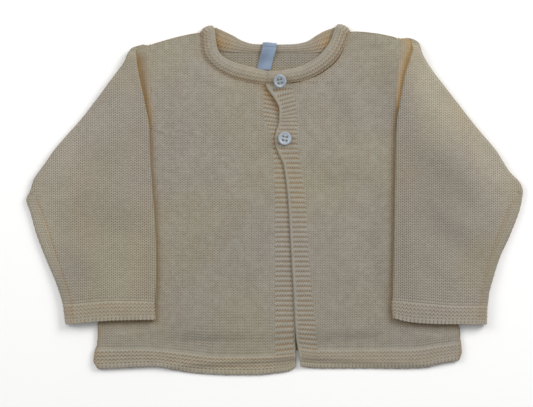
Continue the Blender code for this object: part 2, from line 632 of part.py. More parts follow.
def make_sleeve(side):
    """One sleeve: a hollow tube below the elbow, on the layers that are folded under it above."""
    upper = {"right": [123.3, 121.0, 118.4], "left": [128.6, 126.0, 122.0, 118.0]}[side]
    folded = upper + [112.0, 103.0, 93.0, 82.0, 70.0] + armhole_rows()[::-1] + [30.0, 24.0, 17.0, FOLD_END]
    tube_rows = [FOLD_END, 6.1, -0.8, HOLLOW_END, -18.0, -31.0, -44.0, -57.0, -70.0, CUFF_HIGH]
    cuff = [CUFF_HIGH + (CUFF_LOW - CUFF_HIGH) * i / (2 * CUFF_RIDGES) for i in range(1, 2 * CUFF_RIDGES + 1)]
    mesh = bmesh.new()

    def ring(points, row):
        return [
            mesh.verts.new((OUTWARD[side] * out * MM, float(sleeve_row_y(side, out, row)) * MM, z * MM))
            for out, z in points
        ]

    def face(points):
        mesh.faces.new(points[::-1] if side == "right" else points)

    def strip(above, below):
        for i in range(len(above)):
            j = (i + 1) % len(above)
            face([above[i], above[j], below[j], below[i]])

    rings = []
    for row in folded:
        tube, layers = sleeve_section(side, row, 0)
        # The layers join the tube between its underside and its outer turn.
        rings.append(ring(tube[:7] + layers + tube[7:], row))
    face(rings[0][::-1])
    for above, below in zip(rings, rings[1:]):
        strip(above, below)
    closed = rings[-1]
    layer_count = len(closed) - 25
    face([closed[6]] + closed[7 : 7 + layer_count] + [closed[7 + layer_count]])
    outer = [closed[:7] + closed[7 + layer_count :]]
    for row in tube_rows[1:]:
        outer.append(ring(sleeve_section(side, row, 0)[0], row))
    for i, row in enumerate(cuff):
        outer.append(ring(sleeve_section(side, row, (i + 1) % 2)[0], row))
    for above, below in zip(outer, outer[1:]):
        strip(above, below)
    hollow = [ring(hollow_section(side, row), row) for row in tube_rows[3:] + [cuff[3], cuff[-1]]]
    for above, below in zip(hollow, hollow[1:]):
        strip(below, above)
    face(hollow[0])
    strip(outer[-1], hollow[-1])
    return finish_mesh(f"sleeve_{side}", mesh, CREAM)


# ---- the neckband ----


def band_stations(side_rows, steps):
    """Even steps along a table of edges, smooth in every column."""
    table = np.array(side_rows, float)
    places = np.arange(len(table))
    at = np.linspace(0, len(table) - 1, steps)
    return np.stack([curve(np.stack([places, column], axis=1), at) for column in table.T], axis=1)


def neckband_sections():
    """Every station of the band: its two edges, the way its outer face looks, and how far it bulges that way."""
    sections = []

    def arch(rows, sign):
        for ax, ay, az, fx, fy, fz, bulge in rows:
            sections.append((np.array((ax, ay, az)), np.array((fx, fy, fz)), np.array((0, 0, sign)), sign * bulge))

    def turn(side, degrees_list):
        ax, ay, fx, fy = NECKBAND_TURN[side]
        away = np.array((OUTWARD[side] * abs(fy - ay), abs(fx - ax), 0.0)) / math.hypot(fx - ax, fy - ay)
        for degrees, bulge in degrees_list:
            angle = math.radians(degrees)
            look = away * math.cos(angle) + np.array((0, 0, math.sin(angle)))
            rise = TURN_MIDDLE + TURN_RADIUS * math.sin(angle)
            shift = away * TURN_RADIUS * math.cos(angle) + np.array((0, 0, rise))
            sections.append((np.array((ax, ay, 0)) + shift, np.array((fx, fy, 0)) + shift, look, bulge))

    over = ((90, 3.0), (60, 2.9), (30, 2.6), (0, 2.2), (-30, 0.9), (-60, 0.15), (-90, 0.0))
    arch(band_stations(NECKBAND_LEFT, 19), 1)
    turn("left", over)
    arch(band_stations(NECKBAND_BACK, 21), -1)
    turn("right", over[::-1])
    arch(band_stations(NECKBAND_RIGHT, 19)[::-1], 1)
    return sections


def make_neckband():
    """The garter neckband: one strip whose ends lap at the top button, rolled outwards all round."""
    mesh = bmesh.new()
    shares = np.linspace(0, 1, 9)
    rings = []
    for attached, free, look, bulge in neckband_sections():
        middle = [
            attached + (free - attached) * (1 - math.cos(math.pi * s)) / 2 + look * bulge * math.sin(math.pi * s)
            for s in shares
        ]
        across = (free - attached) / np.linalg.norm(free - attached)
        ring = []
        for face_sign in (1, -1):
            ridged = max(0.0, float(face_sign * look[2])) * RIDGE
            order = range(len(shares)) if face_sign == 1 else reversed(range(len(shares)))
            for i in order:
                ahead = middle[min(i + 1, len(shares) - 1)] - middle[max(i - 1, 0)]
                ahead /= np.linalg.norm(ahead)
                normal = look * np.dot(ahead, across) - across * np.dot(ahead, look)
                ridge = ridged * (i % 2)
                point = middle[i] + face_sign * normal * (BAND_WALL / 2 + ridge)
                point[2] = max(point[2], 0.02)
                ring.append(mesh.verts.new(point * MM))
        rings.append(ring)
    for ring, after in zip(rings, rings[1:]):
        for i in range(len(ring)):
            j = (i + 1) % len(ring)
            mesh.faces.new([ring[j], ring[i], after[i], after[j]])
    mesh.faces.new(rings[0])
    mesh.faces.new(rings[-1][::-1])
    return finish_mesh("neckband", mesh, CREAM)


# ---- what is sewn on ----


def make_ribbon():
    """The folded ribbon label inside the back neck, left bare."""
    mesh = bmesh.new()
    line = band_stations(RIBBON_LINE, 16)
    rings = []
    for i, point in enumerate(line):
        ahead = line[min(i + 1, len(line) - 1)] - line[max(i - 1, 0)]
        ahead /= np.linalg.norm(ahead)
        across = np.array((1.0, RIBBON_LEAN, 0.0)) / math.hypot(1.0, RIBBON_LEAN)
        normal = np.cross(across, ahead)
        normal /= np.linalg.norm(normal)
        ring = []
        for side, level in ((-1, 1), (1, 1), (1, -1), (-1, -1)):
            corner = point + across * side * RIBBON_WIDTH / 2 + normal * level * RIBBON_THICK / 2
            ring.append(mesh.verts.new(corner * MM))
        rings.append(ring)
    for ring, after in zip(rings, rings[1:]):
        for i in range(4):
            j = (i + 1) % 4
            mesh.faces.new([ring[i], ring[j], after[j], after[i]])
    mesh.faces.new(rings[0][::-1])
    mesh.faces.new(rings[-1])
    return finish_mesh("label", mesh, SATIN)


def make_button(name):
    """A round button with a raised rim, a shallow dish and four holes, turned from its profile."""
    middle, turned = BUTTONS[name]
    radius = BUTTON_ACROSS / 2
    profile = (
        (0.0, -BUTTON_THICK / 2), (radius - 1.2, -BUTTON_THICK / 2), (radius - 0.2, -0.5), (radius, 0.0),
        (radius - 0.3, BUTTON_THICK / 2 - 0.4), (radius - 0.9, BUTTON_THICK / 2), (radius - BUTTON_RIM, BUTTON_THICK / 2),
        (radius - BUTTON_RIM - 0.7, BUTTON_THICK / 2 - BUTTON_DISH), (0.0, BUTTON_THICK / 2 - BUTTON_DISH),
    )
    mesh = bmesh.new()
    around = 32
    rings = []
    for out, height in profile[1:-1]:
        ring = []
        for i in range(around):
            angle = 2 * math.pi * i / around
            ring.append(mesh.verts.new((out * math.cos(angle) * MM, out * math.sin(angle) * MM, height * MM)))
        rings.append(ring)
    for low, high in zip(rings, rings[1:]):
        for i in range(around):
            j = (i + 1) % around
            mesh.faces.new([low[i], low[j], high[j], high[i]])
    mesh.faces.new(rings[0][::-1])
    mesh.faces.new(rings[-1])
    button = finish_mesh(name, mesh, PEARL)
    drill = bmesh.new()
    for i in range(4):
        angle = math.radians(45 + 90 * i)
        hole = bmesh.ops.create_cone(
            drill, cap_ends=True, segments=12, radius1=HOLE_ACROSS / 2 * MM, radius2=HOLE_ACROSS / 2 * MM, depth=0.01
        )
        place = (HOLE_OUT * math.cos(angle) * MM, HOLE_OUT * math.sin(angle) * MM, 0.0)
        bmesh.ops.translate(drill, verts=hole["verts"], vec=place)
    cutter = finish_mesh(f"{name}_holes", drill, PEARL)
    cutter.hide_render = True
    cutter.display_type = "WIRE"
    cut = button.modifiers.new("Four holes", "BOOLEAN")
    cut.operation = "DIFFERENCE"
    cut.object = cutter
    for piece in (button, cutter):
        piece.location = [value * MM for value in middle]
        piece.rotation_euler = [math.radians(value) for value in turned]
    return button


# ---- meshes and materials ----


def material(colour):
    """A plain Principled finish: matt for wool, smoother for the buttons and the ribbon."""
    name = {CREAM: "cream_knit", PEARL: "pearl_button", SATIN: "satin_ribbon"}[colour]
    found = bpy.data.materials.get(name)
    if found:
        return found
    made = bpy.data.materials.new(name)
    made.use_nodes = True
    shader = made.node_tree.nodes["Principled BSDF"]
    shader.inputs["Base Color"].default_value = (*colour, 1.0)
    shader.inputs["Roughness"].default_value = {CREAM: 0.9, PEARL: 0.25, SATIN: 0.45}[colour]
    shader.inputs["Metallic"].default_value = 0.0
    return made


def finish_mesh(name, mesh, colour):
    """Turns a bmesh into an object of the scene."""
    mesh.normal_update()
    data = bpy.data.meshes.new(name)
    mesh.to_mesh(data)
    mesh.free()
    data.shade_smooth()
    data.set_sharp_from_angle(angle=math.radians(50))
    data.materials.append(material(colour))
    made = bpy.data.objects.new(name, data)
    bpy.context.scene.collection.objects.link(made)
    return made


def main():
    for old in list(bpy.data.objects):
        bpy.data.objects.remove(old, do_unlink=True)
    make_back()
    for side in ("right", "left"):
        make_front(side)
        make_sleeve(side)
    make_neckband()
    make_ribbon()
    for name in BUTTONS:
        make_button(name)


main()
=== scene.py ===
"""A baby's knitted cardigan laid flat and buttoned at the neck, with every stitch of its knitting in relief.

Run it as a script in Blender. Everything is worked out in millimetres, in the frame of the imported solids, and
scaled to metres when a mesh is made. X runs to the viewer's right, Y towards the neck and Z up from the
table. Left and right are the wearer's, so the right front and the right sleeve have negative X. "Out" is the
distance from the middle line on either side. "Row" is the height up the piece before its lower edge bends it.
"""

import math

import bpy
import numpy as np
from bpy.props import FloatProperty, FloatVectorProperty, PointerProperty
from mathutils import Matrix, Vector


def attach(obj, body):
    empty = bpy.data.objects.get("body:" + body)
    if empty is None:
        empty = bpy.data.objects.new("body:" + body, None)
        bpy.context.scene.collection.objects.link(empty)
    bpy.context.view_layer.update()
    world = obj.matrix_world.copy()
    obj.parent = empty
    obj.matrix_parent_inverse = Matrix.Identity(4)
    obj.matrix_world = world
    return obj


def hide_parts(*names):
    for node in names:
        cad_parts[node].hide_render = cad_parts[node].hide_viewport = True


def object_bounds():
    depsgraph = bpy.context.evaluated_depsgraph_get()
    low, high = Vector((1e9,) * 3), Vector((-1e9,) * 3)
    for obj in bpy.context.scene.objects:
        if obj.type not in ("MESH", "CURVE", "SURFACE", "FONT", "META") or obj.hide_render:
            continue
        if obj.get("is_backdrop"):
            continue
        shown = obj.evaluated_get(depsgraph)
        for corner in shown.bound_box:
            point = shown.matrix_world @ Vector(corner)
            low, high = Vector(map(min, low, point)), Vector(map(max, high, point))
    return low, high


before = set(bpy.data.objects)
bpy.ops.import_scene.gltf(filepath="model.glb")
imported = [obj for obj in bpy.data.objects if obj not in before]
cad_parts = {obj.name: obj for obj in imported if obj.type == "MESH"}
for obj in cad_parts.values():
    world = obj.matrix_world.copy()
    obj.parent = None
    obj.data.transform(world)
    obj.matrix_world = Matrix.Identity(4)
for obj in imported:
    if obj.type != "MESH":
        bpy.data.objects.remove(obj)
cad_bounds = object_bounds()

bl_info = {
    "name": "Knitted baby cardigan",
    "version": (1, 0, 0),
    "blender": (4, 5, 0),
    "location": "3D View > Sidebar > Cardigan",
    "description": "Knits the pieces of a baby's cardigan over its solids and lights it on a pale floor",
    "category": "Object",
}

MM = 0.001
OUTWARD = {"right": -1.0, "left": 1.0}

# The cloth and how its layers lie on each other: walls, gaps, floors and tops from the table up
WALL = 1.8
AIR = 0.4
SEAM = 0.3
FRONT_FLOOR = WALL + AIR
FRONT_TOP = FRONT_FLOOR + WALL
SLEEVE_FLOOR = FRONT_TOP + AIR
TUBE = 2 * WALL + AIR
BAND_WALL = 1.7
BAND_WIDTH = 16.8
BAND_LIFT = 2.3

# Rows up the body and down the sleeve
HEM_LOW, HEM_HIGH = -136.0, -121.0
HEM_BEND = 30.0
ARMHOLE_FOOT = 39.0
BAND_END = 91.3
NECK_FOOT = 92.0
BAND_COURSES = 108
COURSE = (BAND_END - HEM_HIGH) / BAND_COURSES
BORDER_ROWS = 41
FOLD_END = 10.0
HOLLOW_END = -6.0
CUFF_HIGH, CUFF_LOW = -82.0, -98.0
SLEEVE_COURSE = 2.03
# A hem or cuff: the cast-on edge's share of its height, its ridges, and how far ridges wave, in pitches
EDGING = 0.24
RIDGES = 4
WAVE = 0.33
BAND_WAVE = 0.17
# How much wider the stitches of each hem are than the body's, and how many ridges the bands gain at the neck
HEM_SPREAD = {"right": 1.08, "left": 1.0}
CLOSER_RIDGES = {"right": 1.2, "left": 1.9}
# How far the fronts run in under the neckband
TUCKED = 0.9
SLEEVE_TOP = {"right": 123.4, "left": 128.7}
# The middle of a short tuck beside the right armhole
TUCK = (-91.0, 54.5)

# The body's outer edge, up the side seam, round the armhole and along the shoulder: (y, out)
BODY_EDGE = {
    "right": (
        (-136.0, 141.5), (-131.0, 145.0), (-121.0, 143.7), (-116.5, 141.8), (-100.0, 141.5), (-40.0, 140.0),
        (39.0, 138.0), (41.0, 126.0), (44.0, 114.5), (48.5, 104.5), (53.0, 99.8), (58.0, 98.0),
        (98.0, 98.8), (122.6, 99.2), (123.4, 98.0), (126.0, 89.5), (128.8, 79.6), (131.2, 69.0),
        (132.6, 60.4),
    ),
    "left": (
        (-136.0, 148.0), (-129.0, 150.0), (-122.0, 149.6), (-115.0, 148.4), (-100.0, 147.6), (-40.0, 144.0),
        (39.0, 141.0), (41.0, 129.0), (44.0, 116.0), (48.5, 105.0), (53.0, 99.0), (58.0, 97.0),
        (86.0, 97.8), (112.0, 98.8), (127.6, 99.6), (128.6, 97.5), (130.0, 92.4), (132.2, 81.2),
        (133.2, 68.4), (133.8, 64.2),
    ),
}
# Where each shoulder starts, at the armhole, and where it ends, at the neck
SHOULDER_FOOT = {"right": 122.6, "left": 127.6}
SHOULDER_TIP = {"right": 132.5, "left": 133.7}
# The seam between each front and the neckband: (y, out)
NECK_SEAM = {
    "right": (
        (92.0, 9.2), (92.6, 16.0), (93.4, 21.0), (94.6, 26.0), (96.4, 33.2), (100.0, 41.4), (105.6, 49.7),
        (112.6, 56.2), (118.7, 58.8), (126.0, 59.3), (132.6, 59.7),
    ),
    "left": (
        (92.0, 12.0), (93.6, 20.4), (95.2, 25.6), (98.0, 33.6), (102.4, 41.2), (108.0, 48.4), (114.0, 53.2),
        (121.2, 56.6), (130.4, 59.6), (133.8, 62.0),
    ),
}
# Where each front's plain knitting meets its garter band: (y, x)
BAND_SEAM = {
    "right": (
        (-139.0, 0.4), (0.0, 0.2), (37.6, -1.2), (45.6, -2.0), (50.4, -2.9), (56.8, -5.8), (63.2, -8.4),
        (71.2, -9.4), (92.0, -9.2),
    ),
    "left": (
        (-135.0, 36.0), (-120.8, 34.8), (-96.8, 32.4), (-64.8, 29.2), (-44.8, 27.6), (-0.8, 24.8),
        (19.2, 22.0), (33.8, 19.6), (41.2, 18.9), (48.5, 17.7), (56.0, 18.9), (73.0, 17.6), (79.5, 16.6),
        (92.0, 12.5),
    ),
}
# The free edge of the upper band, which lies over the lower one: (y, x)
UPPER_BAND_EDGE = (
    (-134.0, 20.4), (-122.4, 18.8), (-112.8, 17.2), (-80.8, 15.6), (-40.8, 13.2), (-0.8, 10.8), (27.2, 7.2),
    (31.2, 5.7), (38.7, 2.2), (43.6, 0.8), (48.5, 0.3), (53.4, 0.9), (57.5, 2.4), (61.6, 3.4), (66.0, 3.8),
    (70.0, 3.8), (73.0, 3.4), (76.6, 1.7), (80.4, -0.6), (84.0, -3.0), (88.0, -5.6), (92.0, -7.4),
)
# The fronts' lower edge, and the line above their hem ridges: (x, y)
HEM_BOTTOM = {
    "right": (
        (-145.0, -134.5), (-141.5, -136.0), (-114.0, -134.8), (-94.0, -134.2), (-83.6, -136.2),
        (-63.6, -139.4), (-35.6, -140.8), (-15.6, -140.8), (0.4, -139.4), (12.0, -137.6), (17.2, -134.5),
    ),
    "left": (
        (18.8, -131.5), (20.4, -133.6), (36.4, -135.4), (76.4, -135.4), (100.4, -135.6), (119.6, -134.9),
        (132.4, -131.7), (150.4, -128.6),
    ),
}
HEM_LINE = {
    "right": (
        (-143.5, -120.4), (-108.0, -120.0), (-75.6, -122.6), (-43.6, -126.0), (0.4, -125.6), (17.2, -124.0),
    ),
    "left": ((18.0, -119.0), (34.8, -120.8), (108.4, -120.2), (133.8, -117.0), (148.4, -115.2)),
}
# The back's lower edge, and its upper edge along the shoulders and under the neckband: (x, y)
BACK_HEM = (
    (-141.0, -131.5), (-110.0, -131.0), (-60.0, -127.0), (0.0, -122.5), (18.0, -121.2), (40.0, -122.5),
    (90.0, -126.0), (130.0, -127.0), (147.5, -124.5),
)
BACK_TOP = (
    (-99.2, 122.6), (-98.0, 123.4), (-89.5, 126.0), (-79.6, 128.8), (-69.0, 131.2), (-60.4, 132.5),
    (-58.8, 132.3), (-57.4, 131.6), (-53.4, 125.7), (-44.9, 120.2), (-35.6, 118.0), (-26.3, 117.6),
    (0.0, 117.7), (26.6, 117.4), (36.9, 117.7), (46.3, 119.9), (55.0, 125.7), (58.9, 132.2), (60.2, 133.1),
    (64.9, 133.6), (81.2, 132.2), (92.4, 130.0), (97.5, 128.6), (99.6, 127.6),
)
# The sleeve's outer edge, down the diagonal fold to the elbow and along the underarm: (y, out)
SLEEVE_OUTER = {
    "right": (
        (123.6, 103.5), (121.8, 110.0), (120.0, 114.8), (116.0, 117.6), (109.6, 120.4), (95.2, 130.8),
        (66.4, 152.4), (37.6, 177.2), (27.2, 184.4), (14.4, 193.2), (7.2, 195.4), (-0.8, 198.8),
        (-9.6, 195.9), (-27.7, 190.8), (-50.6, 182.0), (-71.0, 173.2), (-80.8, 170.0), (-88.8, 168.8),
        (-100.0, 167.4),
    ),
    "left": (
        (128.9, 103.8), (127.6, 110.6), (124.0, 116.0), (120.3, 117.2), (116.0, 118.5), (105.6, 124.4),
        (82.6, 141.8), (55.2, 163.2), (36.8, 178.5), (20.8, 188.7), (12.0, 197.0), (6.1, 198.9),
        (-3.5, 197.6), (-29.0, 188.7), (-45.6, 181.0), (-60.8, 175.9), (-76.2, 171.4), (-85.1, 170.6),
        (-100.2, 170.2),
    ),
}
# The sleeve's upper fold, which lies on the front of the body: (y, out)
SLEEVE_INNER = {
    "right": (
        (123.6, 100.6), (121.0, 107.6), (118.4, 110.8), (104.0, 109.2), (88.0, 106.0), (72.8, 102.8),
        (60.0, 100.4), (39.2, 99.6), (10.4, 97.8), (-15.2, 95.8), (-47.2, 94.6), (-68.8, 94.8), (-84.8, 95.8),
        (-96.0, 95.2),
    ),
    "left": (
        (128.9, 100.8), (126.0, 109.4), (120.8, 110.6), (112.8, 108.4), (100.0, 104.4), (88.0, 102.0),
        (73.6, 99.6), (60.0, 97.6), (43.2, 97.0), (4.2, 96.2), (-34.1, 95.5), (-59.6, 94.9), (-80.0, 94.2),
        (-88.8, 93.6), (-96.0, 94.8),
    ),
}
# The underarm seam of the part folded under, and where it shows from the elbow to the cuff: (y, out)
UNDERARM = {
    "right": ((3.2, 198.0), (ARMHOLE_FOOT, 138.0)),
    "left": ((3.2, 198.0), (ARMHOLE_FOOT, 141.0)),
}
UNDERARM_SHOWN = {
    "right": ((-98.0, 160.5), (-83.8, 162.6), (-59.5, 170.3), (-36.6, 178.0), (-16.0, 184.6), (6.4, 194.0)),
    "left": ((-98.0, 163.5), (-85.0, 164.2), (-60.0, 169.4), (-36.0, 177.0), (-14.0, 186.0), (6.4, 194.6)),
}
# The line above the cuff's ridges, and the cuff's edge: (out, y)
CUFF_LINE = {
    "right": ((95.5, -81.8), (127.0, -81.2), (163.0, -83.8)),
    "left": ((94.0, -80.7), (121.0, -83.2), (148.0, -85.1), (170.5, -85.1)),
}
CUFF_EDGE = {
    "right": ((96.0, -96.5), (127.0, -97.1), (167.3, -100.3)),
    "left": ((94.8, -95.2), (108.3, -98.4), (127.4, -99.8), (169.5, -100.3)),
}
# Soft ridges and troughs of the laid cloth: x, y, the way each runs in degrees, half its length, half its
# width and its height
FRONT_FOLDS = (
    (-66.0, 70.0, 20.0, 40.0, 17.0, 0.9),
    (-58.0, 10.0, 80.0, 55.0, 16.0, 0.7),
    (-32.0, -66.0, 100.0, 40.0, 12.0, -0.8),
    (-70.0, -92.0, 5.0, 45.0, 12.0, 0.9),
    (-44.0, -117.0, 178.0, 56.0, 7.0, -1.3),
    (-118.0, -110.0, 80.0, 14.0, 8.0, 0.8),
    (62.0, 80.0, 112.0, 34.0, 9.0, 1.6),
    (80.0, 62.0, 108.0, 38.0, 7.0, -1.5),
    (64.0, 30.0, 162.0, 30.0, 10.0, 1.3),
    (60.0, 8.0, 165.0, 34.0, 10.0, -0.8),
    (62.0, -52.0, 118.0, 40.0, 11.0, 0.9),
    (84.0, -74.0, 105.0, 34.0, 9.0, -1.0),
    (78.0, -114.0, 178.0, 50.0, 6.0, -1.2),
    (78.0, 128.0, 172.0, 26.0, 7.0, 1.2),
    (122.0, -112.0, 10.0, 22.0, 7.0, 0.8),
)
SLEEVE_FOLDS = (
    (-140.0, 56.0, 128.0, 34.0, 15.0, 1.2),
    (-138.0, 4.0, 165.0, 44.0, 15.0, 1.3),
    (-132.0, -26.0, 172.0, 36.0, 11.0, -1.3),
    (-150.0, -48.0, 150.0, 26.0, 9.0, 0.8),
    (-116.0, -62.0, 95.0, 30.0, 9.0, 0.7),
    (148.0, 62.0, 47.0, 40.0, 13.0, 1.4),
    (152.0, 26.0, 146.0, 44.0, 12.0, 1.9),
    (140.0, 6.0, 142.0, 40.0, 10.0, -1.7),
    (108.0, -34.0, 94.0, 46.0, 7.0, 1.3),
    (142.0, -16.0, 152.0, 30.0, 7.0, 0.9),
    (152.0, -44.0, 140.0, 26.0, 8.0, -1.2),
    (134.0, -56.0, 136.0, 26.0, 7.0, 0.9),
)
# Painted light and shade: where the wool is painted paler or deeper, in the same columns; the last is the share
# of light it gains or loses
PAINTED_LIGHT = (
    (-158.0, 64.0, 53.0, 72.0, 24.0, 0.13),
    (-180.0, -40.0, 108.0, 55.0, 26.0, 0.14),
    (168.0, 55.0, 128.0, 78.0, 24.0, 0.26),
    (132.0, -2.0, 120.0, 30.0, 14.0, -0.10),
    (146.0, -84.0, 92.0, 26.0, 24.0, 0.06),
    (-92.0, 116.0, 15.0, 34.0, 22.0, 0.05),
    (-40.0, -113.0, 178.0, 78.0, 8.0, -0.07),
    (84.0, -112.0, 178.0, 62.0, 7.0, -0.07),
    (86.0, -48.0, 92.0, 60.0, 12.0, -0.09),
    (52.0, -70.0, 95.0, 40.0, 26.0, -0.04),
    (96.0, 96.0, 92.0, 26.0, 9.0, -0.12),
    (-40.0, -60.0, 80.0, 60.0, 40.0, -0.04),
    (118.0, 92.0, 110.0, 40.0, 18.0, 0.16),
    (176.0, 4.0, 110.0, 30.0, 16.0, 0.16),
    (-176.0, 4.0, 75.0, 40.0, 18.0, 0.14),
    (-124.0, -70.0, 90.0, 28.0, 18.0, 0.12),
    (-124.0, 20.0, 75.0, 50.0, 26.0, 0.05),
    (86.0, 96.0, 92.0, 24.0, 8.0, -0.07),
    (124.0, 102.0, 120.0, 34.0, 13.0, 0.12),
)
# The neckband's front half, from its end under the top button to the wearer's left shoulder, then from its
# other end to the right shoulder: its lower and its free edge as x, y, z, and how far it rises between them
NECKBAND_LEFT = (
    (-7.0, 93.0, 4.2, -7.2, 102.6, 4.3, 1.2),
    (2.0, 93.6, 5.6, 1.5, 102.3, 6.4, 1.3),
    (10.4, 94.2, 5.3, 10.6, 103.4, 6.0, 1.6),
    (16.5, 94.9, 4.0, 16.4, 104.6, 4.9, 2.0),
    (23.2, 96.2, 3.1, 22.2, 106.4, 4.1, 2.3),
    (31.6, 99.4, 3.1, 30.6, 110.8, 4.1, 2.2),
    (39.6, 104.2, 3.1, 37.2, 116.0, 4.1, 2.2),
    (46.8, 110.0, 3.1, 42.2, 122.2, 4.0, 2.2),
    (52.0, 116.6, 3.0, 45.6, 128.0, 3.8, 2.3),
    (55.6, 124.0, 3.0, 47.4, 133.4, 3.6, 2.4),
)
NECKBAND_RIGHT = (
    (10.0, 92.8, 3.0, 10.0, 101.6, 3.0, 0.9),
    (2.0, 92.9, 3.0, 2.0, 101.8, 3.0, 0.9),
    (-5.0, 93.1, 3.1, -5.0, 102.4, 3.5, 1.0),
    (-12.0, 93.5, 3.2, -11.0, 103.6, 3.8, 1.8),
    (-21.0, 94.8, 3.1, -17.6, 105.2, 4.0, 2.3),
    (-31.6, 97.2, 3.1, -28.0, 108.0, 4.1, 2.2),
    (-40.4, 101.0, 3.1, -37.0, 111.2, 4.1, 2.2),
    (-48.6, 106.6, 3.1, -43.0, 115.6, 4.0, 2.2),
    (-54.8, 113.4, 3.0, -46.2, 121.4, 3.9, 2.3),
    (-57.2, 119.4, 2.9, -47.2, 127.2, 3.7, 2.4),
    (-57.8, 126.4, 3.0, -47.8, 133.2, 3.6, 2.4),
)
# Where the band turns over each shoulder: its lower and its free edge as x, y
NECKBAND_TURN = {"left": (58.6, 132.6, 49.6, 138.1), "right": (-57.2, 132.0, -48.6, 136.8)}
TURN_RADIUS = 1.15
TURN_MIDDLE = 2.05
# The neckband's back half from the wearer's left to the right, rolled outwards in the middle
NECKBAND_BACK = (
    (54.6, 126.0, 0.9, 48.6, 137.6, 0.9, 0.0),
    (46.0, 120.6, 1.3, 40.2, 134.6, 1.0, 0.1),
    (36.4, 118.8, 1.4, 33.4, 130.8, 1.0, 0.2),
    (26.4, 118.2, 1.5, 25.6, 126.0, 1.1, 0.3),
    (15.0, 118.2, 1.5, 15.2, 123.8, 1.1, 0.4),
    (0.0, 118.2, 1.5, 0.2, 123.4, 1.1, 0.4),
    (-15.0, 118.2, 1.5, -15.4, 123.8, 1.1, 0.4),
    (-26.0, 118.4, 1.5, -25.8, 126.6, 1.1, 0.3),
    (-35.0, 119.2, 1.4, -33.2, 130.8, 1.0, 0.2),
    (-44.4, 120.8, 1.3, -40.2, 134.2, 1.0, 0.1),
    (-53.2, 126.0, 0.9, -46.6, 137.2, 0.9, 0.0),
)
# Its garter ridges, and the width of its stitches
NECKBAND_RIDGES = 5
NECKBAND_WALE = 2.6

# Buttons: across, thick, the rim, the dish, and the four holes: across, and how far out from the middle
BUTTON_ACROSS = 10.8
BUTTON_THICK = 2.4
BUTTON_RIM = 1.6
BUTTON_DISH = 0.5
HOLE_ACROSS = 1.7
HOLE_OUT = 2.05
# Each button's middle, and its turn about X, Y and Z in degrees
BUTTONS = {
    "button_top": ((4.5, 94.2, 11.3), (9.0, -22.0, 8.0)),
    "button_lower": ((8.3, 48.4, 9.0), (0.0, 0.0, -8.0)),
}
# The ribbon sewn inside the back neck: its middle line as x, y, z, over the rolled band and down the back
RIBBON_LINE = (
    (-3.9, 125.0, 2.4), (-3.9, 124.4, 3.8), (-4.0, 122.8, 4.7), (-4.1, 121.6, 4.5), (-4.5, 119.8, 4.7),
    (-5.2, 117.0, 4.5), (-6.0, 114.2, 3.9), (-7.0, 110.6, 3.0), (-7.6, 108.0, 2.75), (-8.8, 103.4, 2.7),
)
RIBBON_WIDTH = 11.2
RIBBON_LEAN = -0.05
RIBBON_THICK = 0.6

# The photograph's frame: millimetres across, and the point that the camera looks down on
VIEW_ACROSS = 426.4
VIEW_MIDDLE = (-6.4, -3.6)
# The camera's height, and that of the cloth it is framed on, in metres
CAMERA_HEIGHT = 3.2
CLOTH_HEIGHT = 0.006


# ---- settings ----


def colour_setting(name, description, default):
    """A colour, as three shares of light."""
    return FloatVectorProperty(
        name=name, description=description, default=default, subtype="COLOR", size=3, min=0.0, max=1.0,
    )


def size_setting(name, description, default, least, most):
    """A size in millimetres."""
    description = f"{description}, in millimetres"
    return FloatProperty(name=name, description=description, default=default, min=least, max=most)


class CardiganWool(bpy.types.PropertyGroup):
    """The yarn and its stitches"""

    light: colour_setting("Yarn", "Colour of the yarn where it stands out", (0.308, 0.288, 0.236))
    # Painted light: a warm orange colour that the wool takes where ambient occlusion finds it shut in, standing
    # in for the light it bounces into its folds
    painted_crease_light: colour_setting(
        "Creases", "Colour deep in the folds, where the wool lights itself", (0.40, 0.255, 0.105),
    )
    # Painted shade: the hollows between plain stitches and the valleys between garter ridges get these dark
    # colours, on top of the real shade of the modelled relief
    hollow_shade: colour_setting("Hollows", "Colour deep between plain stitches", (0.116, 0.084, 0.047))
    valley: colour_setting("Valleys", "Colour deep between garter ridges", (0.178, 0.115, 0.049))
    # Painted shade: a warm tint that darkens the wool beside folds, seams and laps, where shade falls and the
    # wool lights itself
    painted_shade_tint: colour_setting(
        "Warmth", "Tint of the wool beside a fold or seam, where it lights itself", (0.90, 0.60, 0.27),
    )
    wale: size_setting("Stitch width", "Width of a stitch on the body", 2.84, 2.0, 5.0)
    sleeve_wale: size_setting("Sleeve stitch width", "Width of a stitch on the sleeves", 3.1, 2.0, 5.0)
    band_wale: size_setting("Band stitch width", "Width of a stitch on the front bands", 2.1, 1.5, 5.0)
    relief: size_setting("Stitch relief", "How far plain stitches stand out", 0.85, 0.0, 1.5)
    ridge: size_setting("Ridge relief", "How far garter ridges stand out", 0.6, 0.0, 1.5)
    uneven: FloatProperty(
        name="Uneven tension", description="How much the hand-knitted stitches wander", subtype="FACTOR",
        default=1.0, min=0.0, max=2.0,
    )


class CardiganTrim(bpy.types.PropertyGroup):
    """The buttons and the ribbon"""

    pearl: colour_setting("Buttons", "Colour of the buttons' pearl", (0.36, 0.41, 0.468))
    satin: colour_setting("Ribbon", "Colour of the ribbon", (0.226, 0.312, 0.435))


class CardiganStage(bpy.types.PropertyGroup):
    """The floor and the lights"""

    floor: colour_setting("Floor", "Colour of the floor", (0.95, 0.95, 0.95))
    key: FloatProperty(
        name="Key light", description="Power of the soft light from the upper right", subtype="POWER",
        default=22.0, min=0.0,
    )
    fill: FloatProperty(
        name="Sky", description="Strength of the even light from all round", default=0.335,
        min=0.0, max=5.0,
    )


# ---- curves and unevenness ----


def smooth(x):
    """From 0 to 1 with level ends."""
    x = np.clip(x, 0.0, 1.0)
    return x * x * (3 - 2 * x)


